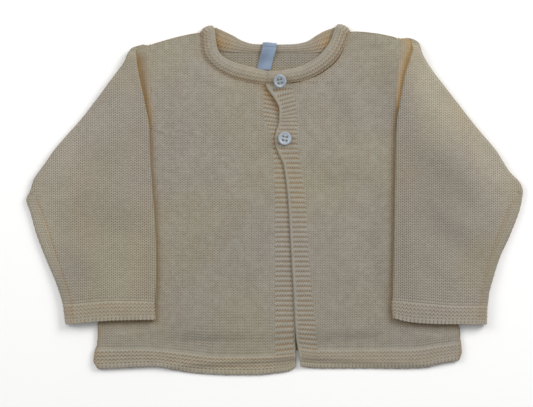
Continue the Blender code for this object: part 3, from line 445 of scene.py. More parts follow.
def ramp(x, start, end):
    """From 0 at the start to 1 at the end, with level ends. The end may be the lower of the two."""
    return smooth((x - start) / (end - start))


def near_to(distance, reach):
    """1 at a place, and less and less with the distance from it."""
    return np.exp(-np.abs(distance) / reach)


def hill(distance, width):
    """1 at a place, round at its top, and next to nothing two widths away."""
    return np.exp(-((distance / width) ** 2))


def curve(rows, at):
    """The value at a place of a short table of (place, value) rows, smooth and never past its rows."""
    place, value = np.array(sorted(map(tuple, rows)), float).T
    run = np.diff(place)
    slope = np.diff(value) / run
    tangent = np.zeros_like(value)
    tangent[0], tangent[-1] = slope[0], slope[-1]
    before, after = slope[:-1], slope[1:]
    same = before * after > 0
    tangent[1:-1][same] = 2 * before[same] * after[same] / (before[same] + after[same])
    at = np.clip(np.asarray(at, float), place[0], place[-1])
    i = np.clip(np.searchsorted(place, at, side="right") - 1, 0, len(run) - 1)
    t = (at - place[i]) / run[i]
    return (
        value[i] * (1 + 2 * t) * (1 - t) ** 2
        + tangent[i] * run[i] * t * (1 - t) ** 2
        + value[i + 1] * t * t * (3 - 2 * t)
        + tangent[i + 1] * run[i] * t * t * (t - 1)
    )


def spline(table, steps):
    """So many points through the rows of a table, smooth in each of its columns."""
    at = np.linspace(0, len(table) - 1, steps)
    return np.stack([curve(enumerate(column), at) for column in np.array(table, float).T], axis=1)


def unit(vectors):
    """Vectors made one long."""
    return vectors / np.linalg.norm(vectors, axis=-1, keepdims=True)


def lengths(points):
    """How far along a line each of its points is."""
    return np.concatenate([[0], np.cumsum(np.linalg.norm(np.diff(points, axis=0), axis=1))])


def folds(rows, x, y):
    """What a table of soft hills and troughs adds up to at a point."""
    height = np.zeros(np.broadcast(x, y).shape)
    for fold_x, fold_y, degrees, length, width, rise in rows:
        cosine, sine = math.cos(math.radians(degrees)), math.sin(math.radians(degrees))
        along = (x - fold_x) * cosine + (y - fold_y) * sine
        across = (y - fold_y) * cosine - (x - fold_x) * sine
        height = height + rise * hill(along, length) * hill(across, width)
    return height


def wobble(x, y, size, seed):
    """Smooth unevenness between -1 and 1, with its hills about one size apart."""
    hills = np.random.default_rng(seed).uniform(-1, 1, (64, 64))
    x, y = np.asarray(x) / size + 40.3, np.asarray(y) / size + 40.7
    i, j = np.floor(x).astype(int), np.floor(y).astype(int)
    u, v = smooth(x - i), smooth(y - j)
    i, j, k, l = i % 64, j % 64, (i + 1) % 64, (j + 1) % 64
    lower, upper = hills[i, j] * (1 - u) + hills[k, j] * u, hills[i, l] * (1 - u) + hills[k, l] * u
    return lower * (1 - v) + upper * v


# ---- stitches: u runs across the wales and v up the courses, one each ----


def stocking(u, v):
    """Plain knitting: two legs a stitch, with small holes at its foot and beside it."""
    legs = np.abs(np.sin(2 * np.pi * u))
    up = np.sin(np.pi * (v % 1)) ** 0.7
    return legs * (0.65 + 0.35 * up) + (1 - legs) * 0.5 * up


def tooth(u):
    """A zigzag between -1 and 1, one tooth a stitch."""
    return 1 - 4 * np.abs(u % 1 - 0.5)


def slant(u):
    """How far up its course each part of a plain stitch lies: the two legs make a V."""
    return 0.55 * np.abs(2 * (u % 1) - 1)


def garter(u, p, wave, narrow=1.6):
    """Garter ridges, p from one valley to the next: loops in a zigzag, a wave of a pitch to either side."""
    valley = (0.5 + 0.5 * np.cos(2 * np.pi * (p + wave * tooth(u)))) ** narrow
    return 1 - valley * (0.9 + 0.1 * np.cos(2 * np.pi * u))


def cast_on(u, p):
    """The cast-on edge, p from 0 to 1: an upright loop for each stitch, with slots between."""
    slot = (1 - np.abs(np.sin(np.pi * u))) * hill(p - 0.45, 0.36)
    return 0.95 - 0.9 * slot


def border(u, p):
    """A hem or cuff, p from 0 at its edge to 1: the cast-on edge, then its garter ridges."""
    rows = (p - EDGING) / (1 - EDGING) * RIDGES
    ridges = garter(u, rows, WAVE, 1.25)
    ridges = ridges + (1 - ridges) * 0.3 * ramp(rows, RIDGES - 0.5, RIDGES - 0.2)
    return np.where(p < EDGING, cast_on(u, p / EDGING), ridges)


def border_painted_light(p):
    """How much paler a hem or cuff is painted than the plain knitting, most of all its last ridge: painted
    light, where its raised ridges catch the light.
    """
    rows = (p - EDGING) / (1 - EDGING) * RIDGES
    return 0.04 + 0.1 * hill(rows - RIDGES + 0.5, 0.4)


def scallop(u, row):
    """How far each loop of the cast-on edge reaches past the line between them."""
    return (0.1 - 0.4 * np.cos(2 * np.pi * u)) * ramp(row, 2.5, 0.0)


def purl(u, v):
    """The wrong side of plain knitting: rows of bumps that lock in a zigzag."""
    valley = (0.5 + 0.5 * np.cos(2 * np.pi * (v + 0.25 * tooth(u)))) ** 0.9
    return 1 - valley * (0.8 + 0.2 * np.cos(4 * np.pi * u))


def wales(low, high, step):
    """Columns at every step across, in each row held between its two ends."""
    columns = np.arange(math.floor(low.min() / step) - 1, math.ceil(high.max() / step) + 2) * step
    x = np.broadcast_to(columns, (len(low), len(columns)))
    low, high = low[:, None], high[:, None]
    x = np.where(x < low + 0.3 * step, low, x)
    return np.minimum(np.where(x > high - 0.3 * step, high, x), high)


def to_edge(x, edge, row):
    """The distance from a sloping edge, near it."""
    return np.abs(x - edge[:, None]) / np.sqrt(1 + np.gradient(edge, row)[:, None] ** 2)


def rounded(distance, radius):
    """The share of its thickness that the cloth has at a distance from its rounded edge."""
    return 0.32 + 0.68 * np.sqrt(1 - (1 - np.clip(distance / radius, 0, 1)) ** 2)


# ---- the shape of the pieces ----


def front_y(side, x, row):
    """The rows of a front bend into its hem."""
    line, bottom = curve(HEM_LINE[side], x), curve(HEM_BOTTOM[side], x)
    above = row + (line - HEM_HIGH) * ramp(row, HEM_HIGH + HEM_BEND, HEM_HIGH)
    return np.where(row >= HEM_HIGH, above, bottom + (line - bottom) * hem_share(row))


def hem_share(row):
    """How far up its hem a row is, from 0 to 1."""
    return (row - HEM_LOW) / (HEM_HIGH - HEM_LOW)


def neck_gap(side, out, y):
    """The distance of a point on a front from its seam with the neckband."""
    seam_y = np.linspace(NECK_FOOT, 132.6, 60)
    seam = np.stack([curve(NECK_SEAM[side], seam_y), seam_y], axis=1)
    gap = np.full(np.broadcast(out, y).shape, 99.0)
    for (out_a, y_a), (out_b, y_b) in zip(seam, seam[1:]):
        run, rise = out_b - out_a, y_b - y_a
        share = np.clip(((out - out_a) * run + (y - y_a) * rise) / (run**2 + rise**2), 0, 1)
        gap = np.minimum(gap, np.hypot(out - out_a - share * run, y - y_a - share * rise))
    return gap


def sleeve_gap(side, out, y):
    """The distance of a point on the body from the sleeve that lies on it."""
    beside = np.maximum(curve(SLEEVE_INNER[side], y) - out, 0)
    below = np.maximum(curve(CUFF_EDGE[side], out) - y, 0)
    return np.hypot(beside, below)


def front_floor(side, x, y):
    """The height of a front's inner face: on the back, or on the table below the back's hem."""
    out = OUTWARD[side] * x
    on_back = ramp(y - curve(BACK_HEM, x), -10.0, -4.0)
    puff = 1.9 * ramp(out, 94.0, 68.0) * (1 - 0.55 * ramp(out, 34.0, 10.0))
    puff = puff * ramp(y, 131.0, 107.0) * ramp(y, -122.5, -104.5)
    puff = puff * (0.1 + 0.9 * ramp(neck_gap(side, out, y), 0.0, 9.0))
    folds_end = 94.0 + 46.0 * ramp(y, -102.0, -110.0)
    height = SEAM + (FRONT_FLOOR - SEAM) * on_back + puff
    height = height + folds(FRONT_FOLDS, x, y) * ramp(out, folds_end, folds_end - 14.0)
    if side == "left":
        lower_edge = curve(BAND_SEAM["right"], y) + BAND_WIDTH
        height = height + BAND_LIFT * ramp(x - lower_edge, 13.0, 3.0)
    return np.maximum(height, SEAM + WALL * on_back)


def seam_out(side, row):
    """The inner end of the layers folded under the sleeve: the armhole, then the underarm seam."""
    armhole = curve(BODY_EDGE[side], np.minimum(row, 122.5) - 0.35)
    return np.where(row > ARMHOLE_FOOT, armhole, curve(UNDERARM[side], row)) + SEAM


def under_layers(row):
    """How much of the folded layers is left under the sleeve, from 1 down to 0 below the elbow."""
    return ramp(row, -4.0, 30.0)


def sleeve_rest(side, out, row, wide):
    """How high the sleeve is held up, by the body and by the layers folded under it."""
    start, end = (43.0, 9.0) if wide else (14.0, 2.0)
    over_body = ramp(out - curve(BODY_EDGE[side], np.minimum(row, ARMHOLE_FOOT)), start, end)
    over_fold = np.where(row < ARMHOLE_FOOT, ramp(seam_out(side, row) - out, start, end), 1.0)
    return SLEEVE_FLOOR * np.maximum(over_body, under_layers(row) * over_fold)


def sleeve_top(side, out, row):
    """The height of the sleeve's upper face."""
    from_inner, to_outer = out - curve(SLEEVE_INNER[side], row), curve(SLEEVE_OUTER[side], row) - out
    puff = 3.2 * ramp(from_inner, 0.0, 24.0) * ramp(to_outer, 0.0, 44.0) * ramp(row, -108.0, -78.0)
    soft = ramp(to_outer, 0.0, 9.0) * ramp(from_inner, 0.0, 9.0)
    puff = puff + folds(SLEEVE_FOLDS, OUTWARD[side] * out, row) * soft
    folded_over = ramp(row, SLEEVE_TOP[side] + 0.6, SLEEVE_TOP[side] - 13.4)
    sag = 2.2 * under_layers(row) * ramp(to_outer, 28.0, 0.0) * ramp(from_inner + to_outer, 20.0, 50.0)
    held = sleeve_rest(side, out, row, True) * folded_over + 0.5 * (1 - folded_over)
    return held + TUBE + np.maximum(puff, 0.0) - sag


def sleeve_y(side, out, row):
    """Rows run straight across the sleeve, then bend into the cuff's own lines."""
    line, edge = curve(CUFF_LINE[side], out), curve(CUFF_EDGE[side], out)
    above = row + (line - CUFF_HIGH) * ramp(row, CUFF_HIGH + 24.0, CUFF_HIGH)
    share = (CUFF_HIGH - row) / (CUFF_HIGH - CUFF_LOW)
    return np.where(row >= CUFF_HIGH, above, line + (edge - line) * share)


# ---- meshes ----

# The finishes' places on a piece, how many values a point has, and how close two points are one
PLAIN, GARTER, INSIDE, PURLED = 0, 1, 2, 3
VALUES = 9
TOUCHING = 1e-4


def strip(*values, painted_shade=0.0, tone_and_painted_light=0.0):
    """Part of a piece's grid, from x, y, z, u, v, crest and finish; each may be one number or a grid."""
    return np.stack(np.broadcast_arrays(*values, painted_shade, tone_and_painted_light), axis=2).astype(float)


def lace(points, first, second):
    """Triangles between two lines of points that run side by side."""
    faces, i, j = [], 0, 0
    while i < len(first) - 1 or j < len(second) - 1:
        step_first = i < len(first) - 1 and (
            j == len(second) - 1
            or np.linalg.norm(points[first[i + 1]] - points[second[j]])
            <= np.linalg.norm(points[first[i]] - points[second[j + 1]])
        )
        if step_first:
            faces.append((first[i], first[i + 1], second[j]))
            i += 1
        else:
            faces.append((first[i], second[j + 1], second[j]))
            j += 1
    return [face for face in faces if len(set(face)) == 3]


def knit(name, strips, split=None):
    """Makes one closed piece from strips whose rows together are closed outlines.

    Points of a row at one place are one. Its ends are closed too: by a single face, or, where split gives
    how many columns belong to the upper face, by triangles between the upper face and the lower one.
    """
    grid = np.concatenate(strips, axis=1)
    rows, columns = grid.shape[:2]
    points = grid[:, :, :3].reshape(-1, 3)
    same = np.linalg.norm(np.diff(grid[:, :, :3], axis=1), axis=2) < TOUCHING
    first = np.where(np.concatenate([np.zeros((rows, 1), bool), same], axis=1), 0, np.arange(columns))
    index = np.arange(rows)[:, None] * columns + np.maximum.accumulate(first, axis=1)
    round_again = np.linalg.norm(grid[:, -1, :3] - grid[:, 0, :3], axis=1) < TOUCHING
    for row in np.flatnonzero(round_again):
        index[row][index[row] == index[row, -1]] = index[row, 0]
    index = np.concatenate([index, index[:, :1]], axis=1)
    a, b, c, d = index[:-1, :-1], index[:-1, 1:], index[1:, 1:], index[1:, :-1]
    low, high = a != b, c != d
    faces, finishes = [], []
    finish = grid[:-1, :, 6]
    for corners, shown in (((a, b, c, d), low & high), ((a, b, c), low & ~high), ((a, c, d), ~low & high)):
        faces += np.stack(corners, axis=-1)[shown].tolist()
        finishes += finish[shown].tolist()
    for row, outward in ((0, False), (rows - 1, True)):
        ring = index[row, :-1].tolist()
        if split is None:
            ends = [list(dict.fromkeys(ring))]
        else:
            lower = (ring[split:] + ring[:1])[::-1]
            ends = lace(points, list(dict.fromkeys(ring[:split])), list(dict.fromkeys(lower)))
        faces += [list(end) if outward else list(end)[::-1] for end in ends]
        finishes += [finish[min(row, rows - 2), 0]] * len(ends)
    used, inverse = np.unique(np.concatenate([np.ravel(face) for face in faces]), return_inverse=True)
    ends = np.cumsum([0] + [len(face) for face in faces])
    faces = [inverse[start:end].tolist() for start, end in zip(ends, ends[1:])]
    return build(name, grid.reshape(-1, VALUES)[used], faces, finishes)


def build(name, values, faces, finishes):
    """A mesh object with its stitches as a UV map and its crests, painted shade and painted light as
    attributes.
    """
    data = bpy.data.meshes.new(name)
    data.from_pydata((values[:, :3] * MM).tolist(), [], faces)
    corners = np.empty(len(data.loops), np.int32)
    data.loops.foreach_get("vertex_index", corners)
    stitch = data.uv_layers.new(name="Stitch")
    stitch.data.foreach_set("uv", values[corners, 3:5].astype(np.float32).ravel())
    for attribute, column in (("crest", 5), ("painted_shade", 7), ("tone_and_painted_light", 8)):
        made = data.attributes.new(attribute, "FLOAT", "POINT")
        made.data.foreach_set("value", values[:, column].astype(np.float32))
    data.polygons.foreach_set("material_index", np.array(finishes, np.int32))
    data.polygons.foreach_set("use_smooth", np.ones(len(faces), bool))
    data.calc_loop_triangles()
    triangles = np.empty(len(data.loop_triangles) * 3, np.int32)
    data.loop_triangles.foreach_get("vertices", triangles)
    faces_inwards = np.linalg.det(values[triangles.reshape(-1, 3), :3]).sum() < 0
    if faces_inwards:
        data.flip_normals()
    data.update()
    return link(bpy.data.objects.new(name, data))


def link(made):
    """Puts an object in the scene."""
    bpy.context.scene.collection.objects.link(made)
    return made


def dress(made, node, materials):
    """Gives a piece its finishes and puts it in the place of its solid."""
    for material in materials:
        made.data.materials.append(material)
    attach(made, "root")
    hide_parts(node)


# ---- materials ----


def new_material(name):
    """A material with a Principled shader and no other nodes."""
    made = bpy.data.materials.new(name)
    made.use_nodes = True
    return made, made.node_tree, made.node_tree.nodes["Principled BSDF"]


def wire(tree, node, values):
    """Sets a node's inputs by name or number: each to its value, or linked to a socket."""
    for key, value in values.items():
        if isinstance(value, bpy.types.NodeSocket):
            tree.links.new(value, node.inputs[key])
        else:
            node.inputs[key].default_value = value


def add(tree, kind, values=None, **settings):
    """A node with its settings, and with values for its inputs."""
    made = tree.nodes.new(kind)
    for key, value in settings.items():
        setattr(made, key, value)
    wire(tree, made, values or {})
    return made


def calc(tree, operation, *values):
    """A Math node's result."""
    return add(tree, "ShaderNodeMath", dict(enumerate(values)), operation=operation).outputs[0]


def blend_colours(tree, factor, first, second, blend="MIX"):
    """A colour between two others, each a socket or three shares of light."""
    first, second = (
        colour if isinstance(colour, bpy.types.NodeSocket) else (*colour, 1.0) for colour in (first, second)
    )
    values = {0: factor, 6: first, 7: second}
    return add(tree, "ShaderNodeMix", values, data_type="RGBA", blend_type=blend).outputs[2]


def stitch_on(tree):
    """The place in the stitches, across the wales and up the courses."""
    return add(tree, "ShaderNodeUVMap", uv_map="Stitch").outputs[0]


def stitch_parts(tree):
    """The two parts of the place in the stitches."""
    return add(tree, "ShaderNodeSeparateXYZ", {0: stitch_on(tree)}).outputs[:2]


def value_on(tree, name):
    """A value that the mesh carries."""
    return add(tree, "ShaderNodeAttribute", attribute_name=name).outputs["Fac"]


def noise(tree, scale, detail, **values):
    """Soft noise over the object."""
    place = add(tree, "ShaderNodeTexCoord").outputs["Object"]
    values = {"Vector": place, "Scale": scale, "Detail": detail, **values}
    return add(tree, "ShaderNodeTexNoise", values).outputs["Fac"]


def stretch(tree, value, low, high, **settings):
    """0 at the lower value and 1 at the higher."""
    values = {"Value": value, "From Min": low, "From Max": high}
    return add(tree, "ShaderNodeMapRange", values, **settings).outputs[0]


def grey(tree, value):
    """A colour with one share of light in all three."""
    return add(tree, "ShaderNodeCombineColor", {0: value, 1: value, 2: value}).outputs[0]


def multiply(tree, first, second):
    """The product of two colours."""
    return blend_colours(tree, 1.0, first, second, "MULTIPLY")


def bumped(tree, strength, distance, height, **values):
    """The normal over a fine relief."""
    values = {"Strength": strength, "Distance": distance, "Height": height, **values}
    return add(tree, "ShaderNodeBump", values).outputs[0]


def node_group(name, inputs, outputs):
    """An empty shader node group with named sockets."""
    tree = bpy.data.node_groups.new(name, "ShaderNodeTree")
    for label, kind, default in inputs:
        made = tree.interface.new_socket(label, in_out="INPUT", socket_type=kind)
        if default is not None:
            made.default_value = default
    for label, kind in outputs:
        tree.interface.new_socket(label, in_out="OUTPUT", socket_type=kind)
    return tree, tree.nodes.new("NodeGroupInput").outputs, tree.nodes.new("NodeGroupOutput")


def yarn_group():
    """Wool yarn: its colour from the painted shade of its hollows to its crest, uneven from stitch to stitch,
    and its fibres' grain.
    """
    found = bpy.data.node_groups.get("Wool yarn")
    if found:
        return found
    tree, given, result = node_group(
        "Wool yarn",
        [
            ("Crest", "NodeSocketFloat", 1.0),
            ("Light", "NodeSocketColor", None),
            ("Hollow shade", "NodeSocketColor", None),
            ("Stitch variation", "NodeSocketFloat", 0.1),
        ],
        [("Colour", "NodeSocketColor"), ("Grain", "NodeSocketFloat")],
    )
    whole = add(tree, "ShaderNodeVectorMath", {0: stitch_on(tree)}, operation="FLOOR").outputs[0]
    each = add(tree, "ShaderNodeTexWhiteNoise", {"Vector": whole}, noise_dimensions="2D").outputs["Value"]
    patches = noise(tree, 45.0, 3.0)
    fibres = noise(tree, 2600.0, 3.0, Roughness=0.65)
    # Painted shade: the colour darkens from the yarn's own at a crest to the hollow colour deep in the relief
    depth = stretch(tree, given["Crest"], 0.05, 0.7, interpolation_type="SMOOTHSTEP")
    broad = stretch(tree, noise(tree, 11.0, 1.0), 0.35, 0.65)
    deep = multiply(tree, given["Hollow shade"], blend_colours(tree, broad, (1.35, 1.12, 0.8), (0.95, 1.0, 1.05)))
    yarn = blend_colours(tree, depth, deep, given["Light"])
    shade = calc(tree, "MULTIPLY", calc(tree, "SUBTRACT", each, 0.5), given["Stitch variation"])
    shade = calc(tree, "MULTIPLY_ADD", calc(tree, "SUBTRACT", patches, 0.5), 0.09, shade)
    shade = calc(tree, "MULTIPLY_ADD", calc(tree, "SUBTRACT", fibres, 0.5), 0.22, shade)
    cast = blend_colours(tree, broad, (1.0, 1.0, 0.955), (1.0, 0.985, 1.035))
    yarn = multiply(tree, multiply(tree, yarn, cast), grey(tree, calc(tree, "ADD", shade, 1.0)))
    wire(tree, result, {"Colour": yarn, "Grain": fibres})
    return tree


def ply_group():
    """The twist of the yarn: fine slanting lines along each leg of a stitch."""
    found = bpy.data.node_groups.get("Yarn twist")
    if found:
        return found
    tree, given, result = node_group(
        "Yarn twist", [("Turns", "NodeSocketFloat", 3.0)], [("Height", "NodeSocketFloat")]
    )
    across, up = stitch_parts(tree)
    along = calc(tree, "MULTIPLY_ADD", calc(tree, "PINGPONG", across, 0.5), 3.2, up)
    turned = calc(tree, "MULTIPLY", calc(tree, "MULTIPLY", along, given["Turns"]), 2 * math.pi)
    wire(tree, result, {"Height": calc(tree, "MULTIPLY_ADD", calc(tree, "SINE", turned), 0.5, 0.5)})
    return tree


def knit_material(name, wool, hollow_shade, turns, purled=False):
    """Wool over the modelled stitches, or, where the cloth's inside is plain, with its purl bumps as bump."""
    found = bpy.data.materials.get(name)
    if found:
        return found
    made, tree, shader = new_material(name)
    # On a plain inside the purl bumps come from the stitch map alone: their hollows take the painted shade
    # colour, over a bump with no modelled relief
    if purled:
        across, up = stitch_parts(tree)
        across = calc(tree, "COSINE", calc(tree, "MULTIPLY", across, 2 * math.pi))
        up = calc(tree, "SINE", calc(tree, "MULTIPLY", calc(tree, "FRACT", up), math.pi))
        crest = calc(tree, "MULTIPLY", calc(tree, "MULTIPLY_ADD", across, 0.3, 0.7), up)
    else:
        crest = value_on(tree, "crest")
    yarn = add(tree, "ShaderNodeGroup", node_tree=yarn_group())
    wire(tree, yarn, {"Crest": crest, "Light": (*wool.light, 1.0), "Hollow shade": (*hollow_shade, 1.0)})
    twist = add(tree, "ShaderNodeGroup", {"Turns": turns}, node_tree=ply_group())
    # Painted shade and light: the wool is tinted darker and warmer where the mesh marks painted shade, then
    # made paler or deeper by the painted light and shade it carries
    tint = blend_colours(tree, value_on(tree, "painted_shade"), (1.0, 1.0, 1.0), wool.painted_shade_tint)
    tinted = multiply(tree, yarn.outputs["Colour"], tint)
    tinted = multiply(tree, tinted, grey(tree, calc(tree, "ADD", value_on(tree, "tone_and_painted_light"), 1.0)))
    # Painted light: where the ambient occlusion node finds the wool shut in, its colour turns towards the
    # crease colour, standing in for light bounced into the fold
    shut = add(tree, "ShaderNodeAmbientOcclusion", {"Distance": 0.006}, samples=6).outputs["AO"]
    lit = blend_colours(tree, stretch(tree, shut, 0.1, 0.62), wool.painted_crease_light, tinted)
    height = calc(tree, "MULTIPLY_ADD", twist.outputs["Height"], 0.5, yarn.outputs["Grain"])
    normal = bumped(tree, 0.5, 0.00016, height)
    if purled:
        normal = bumped(tree, 0.8, 0.0005, crest, Normal=normal)
    wire(tree, shader, {
        "Base Color": lit, "Normal": normal, "Roughness": 0.88, "Specular IOR Level": 0.25,
        "Sheen Weight": 0.25, "Sheen Roughness": 0.55, "Sheen Tint": (1.0, 0.95, 0.88, 1.0),
    })
    return made


def wool_finishes(wool):
    """The four finishes of the knitting: plain, garter, inside and purl."""
    return [
        knit_material("wool_plain", wool, wool.hollow_shade, 2.0),
        knit_material("wool_garter", wool, wool.valley, 1.5),
        knit_material("wool_inside", wool, wool.valley, 1.5, purled=True),
        # The purl side in the neck has its hollows painted darker still: painted shade
        knit_material("wool_purl", wool, [0.55 * value for value in wool.hollow_shade], 1.5),
    ]


def satin(trim):
    """A woven satin: fine ribs across and along the ribbon, with a soft gleam."""
    made, tree, shader = new_material("ribbon_satin")
    across, along = stitch_parts(tree)
    warp = calc(tree, "SINE", calc(tree, "MULTIPLY", across, 2 * math.pi / 0.28))
    weft = calc(tree, "SINE", calc(tree, "MULTIPLY", along, 2 * math.pi / 0.4))
    weave = calc(tree, "MULTIPLY_ADD", calc(tree, "MULTIPLY", warp, weft), 0.5, 0.5)
    # Painted shade: the ribbon's colour darkens towards its edge on the viewer's left, as if turned from the
    # light; the weave and soft noise vary it too
    mix = calc(tree, "MULTIPLY_ADD", across, 0.6 / RIBBON_WIDTH, 0.2)
    mix = calc(tree, "MULTIPLY_ADD", weave, 0.2, mix)
    mix = calc(tree, "MULTIPLY_ADD", noise(tree, 260.0, 2.0), 0.3, mix)
    painted_shade_colour = [value * share for value, share in zip(trim.satin, (0.68, 0.61, 0.6))]
    wire(tree, shader, {
        "Base Color": blend_colours(tree, mix, painted_shade_colour, trim.satin),
        "Normal": bumped(tree, 0.4, 0.00008, weave),
        "Roughness": 0.42, "Anisotropic": 0.4, "Sheen Weight": 0.2,
    })
    return made


def pearl(trim):
    """Pearly plastic: cloudy depth with paler swirls under a clear, glossy face."""
    made, tree, shader = new_material("button_pearl")
    swirl = noise(tree, 240.0, 3.0, Distortion=2.2)
    deep = [value * 0.86 for value in trim.pearl]
    wire(tree, shader, {
        "Base Color": blend_colours(tree, stretch(tree, swirl, 0.35, 0.65), deep, trim.pearl),
        "Roughness": calc(tree, "MULTIPLY_ADD", swirl, 0.2, 0.3), "Coat Weight": 0.25, "Coat Roughness": 0.2,
        "Subsurface Weight": 0.2, "Subsurface Radius": (0.002, 0.002, 0.002),
    })
    return made


def sewing_thread(wool):
    """Sewing thread in the wool's colour, with its twist."""
    made, tree, shader = new_material("sewing_thread")
    twist = add(tree, "ShaderNodeGroup", {"Turns": 1.0}, node_tree=ply_group())
    # Painted shade: the thread is darker in the grooves of its twist
    painted_shade_colour = [value * 0.8 for value in wool.light]
    wire(tree, shader, {
        "Base Color": blend_colours(tree, twist.outputs["Height"], painted_shade_colour, wool.light),
        "Normal": bumped(tree, 0.6, 0.0001, twist.outputs["Height"]), "Roughness": 0.7,
    })
    return made


def pale_floor(stage):
    """A matt floor, slightly uneven in tone."""
    made, tree, shader = new_material("pale_floor")
    dim = [value * 0.985 for value in stage.floor]
    tone_and_painted_light = blend_colours(tree, noise(tree, 1.5, 2.0), dim, stage.floor)
    wire(tree, shader, {"Base Color": tone_and_painted_light, "Roughness": 0.9})
    return made


# ---- the pieces ----


def knit_front(side, wool):
    """One front, its plain knitting and its garter band, from the hem to the shoulder."""
    rows = np.concatenate([
        np.linspace(HEM_LOW, HEM_HIGH, BORDER_ROWS, endpoint=False),
        np.arange(HEM_HIGH, SHOULDER_TIP[side], COURSE / 3),
    ])
    row = rows[:, None]
    way = OUTWARD[side]
    outer = way * (curve(BODY_EDGE[side], rows) + 0.3 * ramp(rows, 48.0, 50.0))
    banded = rows <= BAND_END + 1.2
    neck = way * (curve(NECK_SEAM[side], rows) - TUCKED)
    inner = np.where(banded, curve(BAND_SEAM[side], rows), neck)
    free = inner + BAND_WIDTH
    tilt = ramp(rows, 60.0, 74.0) * ramp(rows, NECK_FOOT, NECK_FOOT - 8.0)
    if side == "left":
        free = curve(UPPER_BAND_EDGE, rows - 0.28 * tilt * (inner - curve(UPPER_BAND_EDGE, rows)))
    free = np.where(banded, free, inner)
    low, high = np.minimum(outer, inner), np.maximum(outer, inner)
    band_low, band_high = np.minimum(free, inner), np.maximum(free, inner)
    left_edge, right_edge = np.minimum(low, band_low), np.maximum(high, band_high)
    stitches = round(BAND_WIDTH / wool.band_wale)

    hem = ramp(row, HEM_HIGH + 0.4, HEM_HIGH - 0.4)
    course = (row - HEM_HIGH) / COURSE
    ridge = course / 2 + CLOSER_RIDGES[side] * np.clip((row - 52.0) / (BAND_END - 52.0), 0, 1)

    def upper(x, on_band):
        u = x / (wool.wale * np.where(row < HEM_HIGH, HEM_SPREAD[side], 1.0))
        to_outer, to_inner = to_edge(x, outer, rows), to_edge(x, free, rows)
        near = np.minimum(to_outer, to_inner)
        sewn = np.minimum(to_outer + 3 * ramp(row, 46.0, 49.0), to_inner + 3 * smooth(row - BAND_END))
        body = rounded(np.minimum(sewn, row - HEM_LOW), 1.7)
        if on_band:
            u = (x - band_low[:, None]) / np.maximum(band_high - band_low, 1e-3)[:, None] * stitches
            crest = np.where(row < HEM_HIGH, border(u, hem_share(row)), garter(u, ridge, BAND_WAVE))
            crest = crest + (0.85 - crest) * ramp(to_inner, 2.2, 1.2)
            lift, finish = wool.ridge, GARTER
            bend = -0.2 * (x - band_low[:, None]) * ramp(row, 52.0, 72.0) * ramp(row, 91.0, 85.0)
            if side == "left":
                bend = -0.28 * (band_high[:, None] - x) * tilt[:, None]
        else:
            plain = stocking(u + wool.uneven * 0.07 * wobble(x, row, 5.0, 3), course)
            crest = plain * (1 - hem) + border(u, hem_share(row)) * hem
            bend = (slant(u) + wool.uneven * 0.13 * wobble(x, row, 6.0, 4)) * COURSE * (1 - hem)
            bend = bend * ramp(near, 0.0, 3.0) * ramp(row, HEM_HIGH, HEM_HIGH + 3.0)
            lift = wool.relief * (1 - hem) + wool.ridge * hem
            finish = np.where(row < HEM_HIGH, GARTER, PLAIN)
        y = front_y(side, x, row) + bend
        z = front_floor(side, x, y) + 0.14 * wobble(x, y, 21.0, 8) * ramp(near, 0.0, 12.0)
        z = z + (1.05 + 0.4 * hem + crest * lift * (1 + 0.15 * wobble(x, y, 9.0, 5))) * body + 0.1
        # Painted shade: the wool is tinted darker and warmer beside the sleeve that lies on it, along the neck
        # seam, and along the side edge low down
        painted_shade = 0.62 * near_to(sleeve_gap(side, way * x, y), 2.8)
        painted_shade = np.maximum(painted_shade, 0.25 * near_to(neck_gap(side, way * x, y), 1.6))
        painted_shade = np.maximum(painted_shade, 0.3 * ramp(to_outer, 3.2, 1.2) * (row < -80.0))
        if side == "right":
            # Painted shade beside the free edge of the upper band, which lies over this front
            lapped = 0.12 + 0.75 * ramp(row, 68.0, 76.0) + 0.3 * ramp(np.abs(row - 42.0), 16.0, 0.0)
            lapped = lapped * near_to(curve(UPPER_BAND_EDGE, y) - x, 2.2 + 2.2 * ramp(row, 66.0, 76.0))
            painted_shade = np.maximum(painted_shade, lapped * (row < NECK_FOOT))
            along, across = x - TUCK[0], y - TUCK[1]
            z = z + 0.6 * hill(0.98 * along - 0.2 * across, 5.0) * hill(0.98 * across + 0.2 * along, 1.3)
        elif on_band:
            z = z + 1.2 * near_to(to_inner, 2.5) * ramp(row, 60.0, 70.0) * ramp(row, 91.0, 85.0)
        y = y - scallop(u, row - HEM_LOW)
        # Painted light and shade from the table above, and the hem painted paler
        tone_and_painted_light = folds(PAINTED_LIGHT, x, y) + border_painted_light(hem_share(row)) * hem
        return strip(x, y, z, u, course, crest, finish, painted_shade=painted_shade, tone_and_painted_light=tone_and_painted_light)

    panel = upper(wales(low, high, wool.wale / 4), False)
    across_band = np.linspace(0, 1, 4 * stitches + 1)
    band = upper(band_low[:, None] + (band_high - band_low)[:, None] * across_band, True)
    face = [panel, band[:, 1:]] if side == "right" else [band[:, :-1], panel]
    x = wales(left_edge, right_edge, wool.wale * 3)[:, ::-1]
    y = front_y(side, x, row)
    under = strip(x, y, front_floor(side, x, y), x / wool.wale, course, 0.5, INSIDE)
    made = knit(f"front_{side}_knit", [*face, under], sum(part.shape[1] for part in face))
    dress(made, f"front_{side}", wool_finishes(wool))
    width, length = right_edge.max() - left_edge.min(), rows[-1] - front_y(side, way * 30.0, HEM_LOW)


